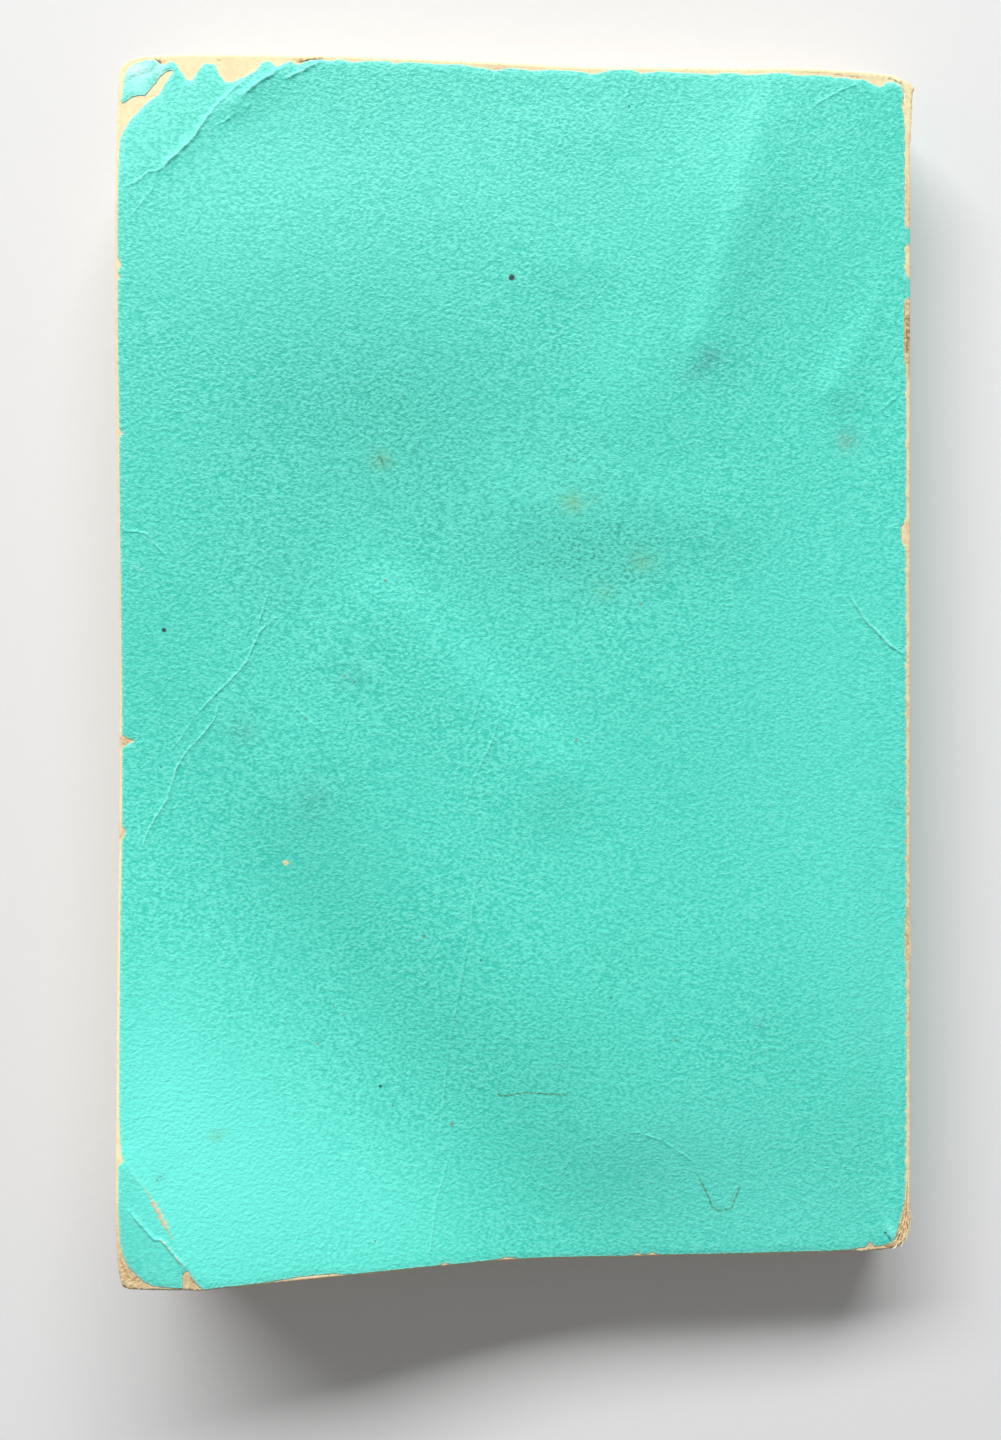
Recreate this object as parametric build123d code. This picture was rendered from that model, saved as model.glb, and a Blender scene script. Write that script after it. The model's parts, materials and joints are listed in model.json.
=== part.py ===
from build123d import *
import math
import os

# A worn paperback textbook that lies on its front cover, with its back cover up.
# +X points to the spine, +Y to the head of the pages, +Z up from the table.
# The origin is the middle of the book's footprint, on the table.
# Every size is in millimetres.

# Cover stock and pages
cover_width = 151.0        # fore-edge to the outside of the spine
cover_height = 228.6       # head to tail
pages_thickness = 13.5     # the pages at the spine
board_thickness = 0.45     # tan core of the cover stock
facing_thickness = 0.12    # grained turquoise layer on the outside of the core
glue_thickness = 0.5       # binding glue between the pages and the spine board
page_inset = 0.4           # the pages stop this far inside the cover's edges
page_corner_radius = 1.5

# Clearances
fold_clearance = 0.05      # between a cover's rounded end and the spine board
leaf_gap = 0.3             # air between the last page and the back cover
roll_relief = 0.01         # a cover's rounded end is this much thinner than the cover

# Worn corners of the covers
head_fore_radius = 3.4
tail_fore_radius = 2.0
head_spine_radius = 3.2
tail_spine_radius = 3.0

# Wear of the turquoise layer
facing_inset = 0.6         # the bare line along head, tail and fore-edge
facing_fold_inset = 0.7    # the bare line along a fold, seen from above
spine_fold_inset = 1.0     # the same on the spine's side of a fold

# Swell of the pages from the spine towards the middle
flat_strip = 5.0           # beside the spine the covers stay flat
swell_height = 1.5
swell_run = 55.0

# The tail corner of the fore-edge curls up past a slanting bend line
tail_lift_reach = 61.0     # corner to the bend line
tail_lift_angle = 39.0     # slant of that distance from the X axis, in degrees
tail_lift_slope = 0.25
tail_lift_softness = 12.0  # half the width over which the bend is spread

# The head corner of the fore-edge rises over a long soft curve
head_lift_reach = 104.0
head_lift_angle = 18.0
head_lift_height = 4.6

# Dog-ears: past a crease near each fore-edge corner the cover turns down again
tail_ear_reach = 13.0
tail_ear_angle = 31.0
tail_ear_slope = 0.18
head_ear_reach = 18.8
head_ear_angle = 48.7
head_ear_slope = 0.09
ear_softness = 3.0

# The pages curl less than the cover does
page_lift_share = 0.55

# How finely the curved surfaces are laid out
surface_step = 6.0
surface_margin = 3.0
surface_tolerance = 0.01

half_width = cover_width / 2
half_height = cover_height / 2
sheet_thickness = board_thickness + facing_thickness
board_radius = board_thickness / 2

front_board_base = facing_thickness
pages_base = sheet_thickness
pages_top = pages_base + pages_thickness
back_board_base = pages_top + leaf_gap
back_facing_base = back_board_base + board_thickness

fold_x = half_width - facing_thickness - board_radius
front_fold_z = front_board_base + board_radius
back_fold_z = back_board_base + board_radius
spine_board_inside = half_width - sheet_thickness
pages_spine_face = spine_board_inside - glue_thickness
strip_start = fold_x - flat_strip
over_the_top = pages_top + cover_width   # above every curl


def ramp(share):
    """A smooth step from 0 to 1."""
    held = min(max(share, 0.0), 1.0)
    return held * held * (3 - 2 * held)


def soft_fold(past, softness):
    """How far past a bend line a point is, with a parabola across the bend itself."""
    if past <= -softness:
        return 0.0
    if past >= softness:
        return past
    return (past + softness) ** 2 / (4 * softness)


def past_line(x, y, end, reach, angle):
    """Distance past a slanting line that cuts off a fore-edge corner; end is 1 at the head."""
    from_fore = x + half_width
    from_end = half_height - end * y
    slant = math.radians(angle)
    return reach - from_fore * math.cos(slant) - from_end * math.sin(slant)


def swell(x):
    return swell_height * ramp((strip_start - x) / swell_run)


def corner_lift(x, y):
    tail = past_line(x, y, -1, tail_lift_reach, tail_lift_angle)
    head = past_line(x, y, 1, head_lift_reach, head_lift_angle)
    tail_rise = tail_lift_slope * soft_fold(tail, tail_lift_softness)
    return tail_rise + head_lift_height * ramp(head / head_lift_reach)


def dog_ears(x, y):
    tail = past_line(x, y, -1, tail_ear_reach, tail_ear_angle)
    head = past_line(x, y, 1, head_ear_reach, head_ear_angle)
    return tail_ear_slope * soft_fold(tail, ear_softness) + head_ear_slope * soft_fold(head, ear_softness)


def cover_rise(x, y):
    return swell(x) + corner_lift(x, y) - dog_ears(x, y)


def page_rise(x, y):
    return swell(x) + page_lift_share * corner_lift(x, y)


def drawn_in(x, y, share):
    """Where a point of the flat sheet comes to lie in plan, once its tail corner has curled."""
    curled = soft_fold(past_line(x, y, -1, tail_lift_reach, tail_lift_angle), tail_lift_softness)
    drawn = (share * tail_lift_slope) ** 2 / 2 * curled
    slant = math.radians(tail_lift_angle)
    return x + drawn * math.cos(slant), y + drawn * math.sin(slant)


def spaced(start, stop):
    """Evenly spaced values, no further apart than the surface step."""
    count = math.ceil((stop - start) / surface_step)
    return [start + (stop - start) * i / count for i in range(count + 1)]


def curved_face(rise, base):
    """The surface z = base + rise(x, y), a little larger than the cover in plan."""
    xs = spaced(-half_width - surface_margin, half_width + surface_margin)
    ys = spaced(-half_height - surface_margin, half_height + surface_margin)
    rows = [[Vector(x, y, base + rise(x, y)) for x in xs] for y in ys]
    return Face.make_surface_from_array_of_points(rows, tol=surface_tolerance, min_deg=3, max_deg=3)


def box(x_low, x_high, y_low, y_high, z_low, z_high):
    size = (x_high - x_low, y_high - y_low, z_high - z_low)
    return Pos(x_low, y_low, z_low) * Box(*size, align=(Align.MIN, Align.MIN, Align.MIN))


def corner_at(face, side, end):
    return max(face.vertices(), key=lambda v: side * v.X + end * v.Y)


def plan_prism(inset, spine_x, fore_radii, spine_radii, share, z_low, z_high):
    """The book's plan between two heights; radii are (head, tail), share is how much of the curl it has."""
    left = -half_width + inset
    high = half_height - inset
    slant = math.radians(tail_lift_angle)
    bend_on_fore = (left, tail_lift_reach / math.sin(slant) - half_height)
    bend_on_tail = (tail_lift_reach / math.cos(slant) - half_width, -high)
    flat = [(left, high), bend_on_fore, (left, -high), bend_on_tail, (spine_x, -high), (spine_x, high)]
    plan = make_face(Polyline(*[drawn_in(x, y, share) for x, y in flat], close=True)).faces()[0]
    for side, radii in ((-1, fore_radii), (1, spine_radii)):
        for end, radius in zip((1, -1), radii):
            if radius > 0:
                plan = plan.fillet_2d(radius, [corner_at(plan, side, end)])
    return extrude(Pos(0, 0, z_low) * plan, z_high - z_low)


def cover_plan(share, z_low, z_high):
    fore = (head_fore_radius, tail_fore_radius)
    spine = (head_spine_radius, tail_spine_radius)
    return plan_prism(0, half_width - facing_thickness, fore, spine, share, z_low, z_high)


def fold_roll(fold_z):
    """The half-round end of a cover, about the line that it turns on."""
    return Pos(fold_x, 0, fold_z) * Rot(90, 0, 0) * Cylinder(board_radius - roll_relief, cover_height)


def placed(points, side, end):
    """Points given as (in from the edge, in from the end) at one corner of the cover."""
    return [(side * (half_width - a), end * (half_height - b)) for a, b in points]


# Edge of the turquoise layer on the back cover, corner by corner, as far as it has peeled

head_fore_edge = placed([
    (0.4, 15.8), (0.9, 14.5), (2.6, 11.8), (4.9, 9.3), (7.7, 7.4), (8.8, 5.3), (10.4, 2.7),
    (9.1, 3.1), (7.0, 5.4), (5.1, 7.6), (3.8, 7.6), (2.6, 7.9), (0.9, 9.1),
    (0.9, 5.8), (1.2, 3.8), (1.9, 2.4), (3.3, 1.3), (6.8, 0.8), (8.0, 1.6), (8.8, 1.6),
    (10.0, 1.0), (11.4, 1.5), (13.8, 4.8), (15.9, 1.8), (18.2, 1.6), (20.3, 4.9), (21.5, 5.1),
    (26.2, 2.9), (27.1, 1.4), (28.4, 1.0), (30.0, 2.2), (32.8, 1.0), (34.2, 1.8), (36.4, facing_inset),
], -1, 1)

head_nicks = placed([
    (69.8, facing_inset), (72.5, 1.2), (75.2, facing_inset),
    (88.4, facing_inset), (89.8, 1.0), (91.8, facing_inset),
], -1, 1)

head_spine_edge = placed([
    (15.5, facing_inset), (13.2, 1.1), (11.2, 1.5), (9.4, 1.2), (6.1, 2.7), (5.1, 1.7), (3.2, 1.5),
    (2.2, 2.0), (1.6, 2.7), (1.4, 4.1), (1.9, 5.9), (1.4, 7.8), (1.1, 12.7), (1.1, 29.2),
    (facing_fold_inset, 30.2), (facing_fold_inset, 33.0), (1.1, 33.6), (1.1, 38.6),
    (facing_fold_inset, 39.2), (facing_fold_inset, 43.6), (1.2, 44.1), (1.2, 55.9),
    (facing_fold_inset, 56.5), (facing_fold_inset, 87.0), (1.6, 89.5), (facing_fold_inset, 92.0),
], 1, 1)

tail_spine_edge = placed([
    (facing_fold_inset, 13.6), (0.9, 9.5), (1.9, 5.4), (2.4, 3.2), (2.9, 1.9), (3.8, 1.3),
    (5.2, 1.0), (6.8, 0.6), (7.5, 1.5), (8.6, facing_inset),
], 1, -1)

tail_fore_edge = placed([
    (15.4, facing_inset), (13.7, 2.4), (12.9, 3.7), (11.9, 2.8), (11.8, facing_inset),
    (8.0, facing_inset), (6.2, 0.6), (4.5, 1.3), (3.0, 2.8), (1.8, 3.9), (1.0, 5.8), (0.5, 8.4),
    (0.4, 23.1), (1.3, 23.6), (0.8, 24.8), (0.7, 27.5), (facing_inset, 32.0),
    (facing_inset, 103.0), (0.9, 104.0), (facing_inset, 105.0),
], -1, -1)


def worn_facing_prism(z_low, z_high):
    edge = head_fore_edge + head_nicks + head_spine_edge + tail_spine_edge + tail_fore_edge
    face = make_face(Polyline(*[drawn_in(x, y, 1) for x, y in edge], close=True))
    return extrude(Pos(0, 0, z_low) * face, z_high - z_low)


def facing_plan(z_low, z_high):
    """The turquoise layer's plan on the front cover, which is worn only along its edges."""
    fore = (head_fore_radius, tail_fore_radius)
    spine = (head_spine_radius, tail_spine_radius)
    return plan_prism(facing_inset, half_width - facing_fold_inset, fore, spine, 0, z_low, z_high)


def only_solid(shape):
    """The one solid in a result."""
    found = shape.solids()
    assert len(found) == 1, len(found)
    return found[0]


def make_text_block():
    """All the pages as one solid, flat below and curved above."""
    fore = (page_corner_radius, page_corner_radius)
    plan = (page_inset, pages_spine_face, fore, (0, 0), page_lift_share)
    outline = plan_prism(*plan, pages_base, over_the_top)
    under_top = Solid.extrude(curved_face(page_rise, pages_top), Vector(0, 0, -over_the_top))
    return only_solid(outline & under_top)


def make_spine_glue():
    high = half_height - page_inset
    return only_solid(box(pages_spine_face, spine_board_inside, -high, high, pages_base, pages_top))


def make_spine_board():
    low = front_fold_z + board_radius + fold_clearance
    high = back_fold_z - board_radius - fold_clearance
    outside = half_width - facing_thickness
    return only_solid(box(spine_board_inside, outside, -half_height, half_height, low, high))


def make_spine_facing():
    low = front_fold_z + spine_fold_inset
    high = back_fold_z - spine_fold_inset
    end = half_height - facing_inset
    return only_solid(box(half_width - facing_thickness, half_width, -end, end, low, high))


def make_front_board():
    top = front_board_base + board_thickness
    sheet = box(-half_width, fold_x, -half_height, half_height, front_board_base, top)
    return only_solid((sheet + fold_roll(front_fold_z)) & cover_plan(0, 0, top))


def make_front_facing():
    return only_solid(facing_plan(0, facing_thickness))


def back_cover_layer(base, thickness, outline):
    """A layer of the back cover that follows the curve of its underside."""
    under = Pos(0, 0, base - back_board_base) * cover_underside
    return Solid.extrude(under, Vector(0, 0, thickness)) & outline


def make_back_board():
    up_to_fold = box(-half_width, fold_x, -half_height, half_height, pages_base, over_the_top)
    sheet = back_cover_layer(back_board_base, board_thickness, up_to_fold)
    return only_solid((sheet + fold_roll(back_fold_z)) & cover_plan(1, pages_base, over_the_top))


def make_back_facing():
    outline = worn_facing_prism(pages_base, over_the_top)
    return only_solid(back_cover_layer(back_facing_base, facing_thickness, outline))


cover_underside = curved_face(cover_rise, back_board_base)

nodes = {
    "text_block": make_text_block(),
    "spine_glue": make_spine_glue(),
    "spine_board": make_spine_board(),
    "spine_facing": make_spine_facing(),
    "back_cover_board": make_back_board(),
    "back_cover_facing": make_back_facing(),
    "front_cover_board": make_front_board(),
    "front_cover_facing": make_front_facing(),
}

os.makedirs("parts", exist_ok=True)
for name, solid in nodes.items():
    export_step(solid, "parts/" + name + ".step")

print("back fold axis", round(fold_x, 4), round(back_fold_z, 4))
print("front fold axis", round(fold_x, 4), round(front_fold_z, 4))
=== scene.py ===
import json
import math

import bmesh
import bpy
import numpy as np
from mathutils import Euler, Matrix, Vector
from mathutils.geometry import delaunay_2d_cdt


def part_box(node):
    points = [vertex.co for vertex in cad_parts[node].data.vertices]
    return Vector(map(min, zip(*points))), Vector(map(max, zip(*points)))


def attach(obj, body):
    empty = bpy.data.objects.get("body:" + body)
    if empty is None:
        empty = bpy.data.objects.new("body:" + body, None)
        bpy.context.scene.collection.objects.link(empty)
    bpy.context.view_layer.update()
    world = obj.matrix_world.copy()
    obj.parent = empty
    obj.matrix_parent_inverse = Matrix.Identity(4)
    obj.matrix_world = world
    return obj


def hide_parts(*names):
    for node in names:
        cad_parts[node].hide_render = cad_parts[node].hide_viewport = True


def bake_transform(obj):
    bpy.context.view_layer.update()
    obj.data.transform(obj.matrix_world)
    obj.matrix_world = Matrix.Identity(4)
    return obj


# A worn paperback textbook that lies on its front cover, seen from above its back cover.
# Lengths are in millimetres; they become metres where a mesh is made.
# Lists named ..._px hold places in the photograph, in pixels from its upper left corner.

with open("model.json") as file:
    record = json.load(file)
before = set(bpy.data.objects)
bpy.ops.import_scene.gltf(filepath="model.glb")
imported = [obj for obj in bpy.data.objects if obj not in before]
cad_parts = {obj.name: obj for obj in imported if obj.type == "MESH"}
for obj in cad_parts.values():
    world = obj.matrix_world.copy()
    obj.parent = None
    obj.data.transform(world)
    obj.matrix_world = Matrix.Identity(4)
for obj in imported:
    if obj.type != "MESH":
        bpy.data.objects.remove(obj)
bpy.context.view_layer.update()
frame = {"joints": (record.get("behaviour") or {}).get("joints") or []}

MM = 0.001
chance = np.random.default_rng(11)


# Sizes, from the frame

def box_mm(node):
    low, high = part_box(node)
    return [value / MM for value in low], [value / MM for value in high]


axes = {joint["name"]: [value / MM for value in joint["pos_m"]] for joint in frame["joints"]}
fold_x, _, back_fold_z = axes["back_cover_fold"]
front_fold_z = axes["front_cover_fold"][2]
front_low, front_high = box_mm("front_cover_board")
spine_low, spine_high = box_mm("spine_facing")
spine_board_low, spine_board_high = box_mm("spine_board")
glue_low, glue_high = box_mm("spine_glue")

half_width = spine_high[0]
half_height = front_high[1]
facing_thickness = front_low[2]
board_thickness = front_high[2] - front_low[2]
board_radius = board_thickness / 2
back_board_base = back_fold_z - board_radius
back_board_top = back_fold_z + board_radius
cover_top = back_board_top + facing_thickness
pages_base = glue_low[2]
pages_thickness = glue_high[2] - glue_low[2]


# The curves of the book, as its solids have them

flat_strip = 5.0
swell_height = 1.5
swell_run = 55.0
tail_lift_reach = 61.0
tail_lift_angle = 39.0
tail_lift_slope = 0.25
tail_lift_softness = 12.0
head_lift_reach = 104.0
head_lift_angle = 18.0
head_lift_height = 4.6
tail_ear_reach = 13.0
tail_ear_angle = 31.0
tail_ear_slope = 0.18
head_ear_reach = 18.8
head_ear_angle = 48.7
head_ear_slope = 0.09
ear_softness = 3.0
page_lift_share = 0.55


def ramp(share):
    """A smooth step from 0 to 1."""
    held = np.clip(share, 0.0, 1.0)
    return held * held * (3 - 2 * held)


def soft_fold(past, softness):
    """How far past a bend line a point is, with a parabola across the bend itself."""
    bend = np.clip(past + softness, 0.0, 2 * softness) ** 2 / (4 * softness)
    return bend + np.maximum(past - softness, 0.0)


def past_line(x, y, end, reach, angle):
    """Distance past a slanting line that cuts off a fore-edge corner; end is 1 at the head."""
    from_fore = x + half_width
    from_end = half_height - end * y
    slant = math.radians(angle)
    return reach - from_fore * math.cos(slant) - from_end * math.sin(slant)


def swell(x):
    return swell_height * ramp((fold_x - flat_strip - x) / swell_run)


def corner_lift(x, y):
    tail = past_line(x, y, -1, tail_lift_reach, tail_lift_angle)
    head = past_line(x, y, 1, head_lift_reach, head_lift_angle)
    tail_rise = tail_lift_slope * soft_fold(tail, tail_lift_softness)
    return tail_rise + head_lift_height * ramp(head / head_lift_reach)


def dog_ears(x, y):
    tail = past_line(x, y, -1, tail_ear_reach, tail_ear_angle)
    head = past_line(x, y, 1, head_ear_reach, head_ear_angle)
    return tail_ear_slope * soft_fold(tail, ear_softness) + head_ear_slope * soft_fold(head, ear_softness)


def cover_rise(x, y):
    return swell(x) + corner_lift(x, y) - dog_ears(x, y)


def page_rise(x, y):
    return swell(x) + page_lift_share * corner_lift(x, y)


def drawn_in(points, share):
    """Where points of the flat sheet come to lie in plan, once the tail corner has curled."""
    x, y = points[:, 0], points[:, 1]
    curled = soft_fold(past_line(x, y, -1, tail_lift_reach, tail_lift_angle), tail_lift_softness)
    drawn = (share * tail_lift_slope) ** 2 / 2 * curled
    slant = math.radians(tail_lift_angle)
    return np.stack([x + drawn * math.cos(slant), y + drawn * math.sin(slant)], 1)


# The photograph's camera

PHOTO_WIDTH = 1001
PHOTO_HEIGHT = 1440
FOCAL_PX = 1082.0
SENSOR_MM = 36.0
RAY_STEPS = 8           # each brings a pixel's place nearer to the curved cover
camera_place = np.array([-6.852, -7.912, 224.178])
camera_turn = Euler([math.radians(angle) for angle in (-0.6636, -0.7113, -0.2535)])


def on_cover(points_px):
    """Where on the outside of the closed back cover the photograph's pixels lie, in plan."""
    points_px = np.asarray(points_px, float).reshape(-1, 2)
    across = points_px[:, 0] - PHOTO_WIDTH / 2
    up = PHOTO_HEIGHT / 2 - points_px[:, 1]
    rays = np.stack([across, up, np.full(len(across), -FOCAL_PX)], 1) @ np.array(camera_turn.to_matrix()).T
    height = np.full(len(across), cover_top)
    for _ in range(RAY_STEPS):
        reach = (height - camera_place[2]) / rays[:, 2]
        plan = camera_place[:2] + rays[:, :2] * reach[:, None]
        height = cover_top + cover_rise(plan[:, 0], plan[:, 1])
    return plan


PX = 1 / 5.15   # a pixel of the photograph on the cover, in mm


# Outlines of the back cover's two layers

# The tan core, from the fore-edge's head corner round by the head to the spine, the tail and back
core_outline_px = [
    (116.4, 137), (116.9, 114), (117.6, 98.6), (118.6, 75.6), (120.3, 68), (124, 62.6), (130, 59.2),
    (139.4, 56.8), (158.6, 55.3), (189, 54.3), (225, 54.3), (260, 54.7), (295, 55.3), (345, 56),
    (395, 57.8), (430, 59.2), (470, 61.2), (520, 63.4), (545, 65), (580, 66.7), (620, 67.3),
    (645, 67.2), (700, 68.3), (740, 69.6), (795, 69.6), (830, 70.2), (870, 72.3), (889, 74.2),
    (895, 75.6), (900.8, 78.4), (906, 82.4), (908, 88), (908, 1214), (907.6, 1225), (906.4, 1234),
    (904.5, 1241), (900.7, 1245.6), (893.7, 1248), (881, 1249.8), (865, 1250.9), (845, 1251.3),
    (820, 1252.2), (795, 1252.9), (745, 1254.3), (695, 1255.1), (645, 1256), (620, 1257.1),
    (580, 1257.9), (545, 1258.8), (520, 1260), (495, 1261.4), (470, 1264), (420, 1269), (395, 1271.7),
    (370, 1274.6), (345, 1276.9), (320, 1279.3), (295, 1281.9), (270, 1284.4), (245, 1287), (220, 1289),
    (202, 1290.6), (182, 1291.4), (150, 1292.5), (127, 1292.5), (121, 1290), (118.5, 1285), (117, 1275),
    (115.7, 1260), (115.2, 1230), (115.8, 1163), (116, 1120), (116.3, 1050), (116.9, 980), (117.7, 910),
    (118.4, 875), (118.8, 840), (119.1, 800), (119.3, 735), (119.4, 680), (119, 630), (118.7, 595),
    (118.3, 540), (116.8, 470), (116.1, 400), (115.6, 350), (115.5, 315), (115.4, 228), (115.9, 175),
]

# The turquoise facing, in the same order; it has peeled back at the corners and along the edges
facing_head_px = [
    (119.9, 139), (122.6, 132), (128, 123), (131.8, 117.7), (138.7, 110.8), (144, 104.7), (152.4, 97.8),
    (158.6, 94.7), (160.9, 90), (164.7, 83.3), (170, 75.6), (172.6, 71.6), (171.6, 69.5), (166, 71.8),
    (160, 76.4), (154.7, 84), (148.6, 90.9), (144.8, 95.5), (137.9, 95.5), (131.8, 97), (126.4, 100.9),
    (122.6, 103.5), (120.7, 101.6), (123, 86.3), (124.5, 75.6), (128, 68), (135.6, 62.6), (144.8, 60.3),
    (154, 59.5), (157, 61.5), (160, 64), (164.7, 64), (170.8, 61), (176.2, 63.4), (177.7, 67.2),
    (181.5, 71.8), (186, 78.7), (191, 81), (196.8, 72.5), (202, 65), (206.8, 63), (214.4, 64), (219, 74),
    (225, 81.5), (231.6, 82.3), (238, 79), (248, 75.3), (256.5, 70.7), (261.4, 62.8), (268, 60.8),
    (272, 62.4), (276.4, 67.4), (284.7, 63.2), (291.3, 61.2), (295.4, 64), (298.7, 65.3), (302.9, 62.4),
    (310.4, 60), (322.8, 59.5), (331, 61.2), (339, 59.1), (353, 62.1), (365, 60.8), (387, 60.8),
    (396.6, 63.7), (403.5, 61.8), (428, 63.1), (437, 64.1), (462, 64.4), (475.5, 67.2), (483, 68),
    (495.4, 70.7), (510.7, 68), (529, 70.3), (538, 70.7), (549, 69.5), (572, 70.7), (584.5, 72.2),
    (591.4, 74.2), (601, 72.7), (610.5, 69.6), (626, 69.2), (633.5, 70.2), (641, 73.4), (652, 72.2),
    (659.5, 71), (679.4, 73), (698, 73.7), (713, 75.3), (722, 73.7), (734.6, 73.7), (745, 76),
    (759, 75.7), (774, 74.5), (786.6, 74.5), (796, 76.8), (812, 76), (829, 76.5), (836, 78.6),
    (843.4, 77.8), (853.8, 80), (863, 79), (867, 81.2), (872, 83.5), (876.7, 85.3), (880.2, 87),
    (883, 85.3), (885.3, 82.4), (890, 81.2), (895, 81.8), (900.3, 84.7), (903, 88.7), (904, 95.6),
    (903, 102.5), (901.7, 105.3), (903, 109.4), (904, 115), (905, 122),
]
facing_spine_px = [
    (905.5, 140), (905, 180), (905.5, 226), (907.6, 229), (907.8, 245), (905.7, 247.5), (905.5, 273),
    (907.6, 276), (907.8, 299), (904.8, 301.5), (904.3, 330), (904.8, 362), (906.4, 366), (906.6, 450),
    (906.4, 520), (902, 526), (901.5, 540), (906.2, 550), (906.5, 640), (906.2, 700), (906.6, 800),
    (906.4, 915), (905.4, 920), (905.2, 960), (906.6, 964), (906.8, 1100), (906.3, 1160), (906, 1180),
]
facing_tail_px = [
    (905, 1201), (903, 1210), (900, 1222), (897, 1233), (895, 1240), (890.6, 1243.8), (883, 1245.6),
    (874.7, 1246.7), (871, 1241.8), (865.6, 1247), (850, 1249.5), (830, 1250.8), (795, 1251.5),
    (745, 1253), (695, 1253.8), (660, 1254.4), (652, 1252), (645, 1254.6), (637, 1252.5), (630, 1255.5),
    (580, 1256.6), (545, 1257.5), (520, 1258.8), (507, 1257), (495, 1260), (470, 1263), (452, 1264.6),
    (445, 1263), (438, 1266), (420, 1267.6), (395, 1270.4), (370, 1273), (345, 1275.3), (337, 1274),
    (320, 1275.2), (300, 1277.2), (284, 1280), (260, 1283.8), (235, 1286.6), (220, 1288), (203, 1290),
    (201.8, 1288.4), (197.6, 1285), (192.4, 1278), (188, 1270.5), (185, 1271.6), (182.4, 1275.8),
    (181.8, 1290), (160.8, 1289), (151.3, 1288.4), (141.8, 1284), (133.4, 1275.8), (127, 1269.5),
    (122, 1259), (119, 1245), (118, 1214), (118.2, 1166), (124, 1161), (121.3, 1154.7),
]
facing_fore_px = [
    (119.8, 1140), (118.9, 1120), (119, 1050), (119.5, 980), (120.2, 910), (121, 875), (121.3, 842),
    (124, 836), (125, 830), (121.5, 826), (121.8, 770), (122, 748), (128, 744), (134.5, 741), (127, 738),
    (121.6, 735), (121.5, 680), (121, 630), (120.6, 595), (120, 540), (119, 470), (119.2, 438),
    (122.5, 433), (119, 428), (118.6, 400), (118, 350), (117.9, 315), (117.8, 281), (120, 277),
    (118, 273), (118.2, 270), (121.5, 266), (119.5, 261), (117.8, 257), (117.6, 228), (118.2, 175),
    (119, 150),
]
facing_outline_px = facing_head_px + facing_spine_px + facing_tail_px + facing_fore_px


# Creases of the back cover

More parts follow.
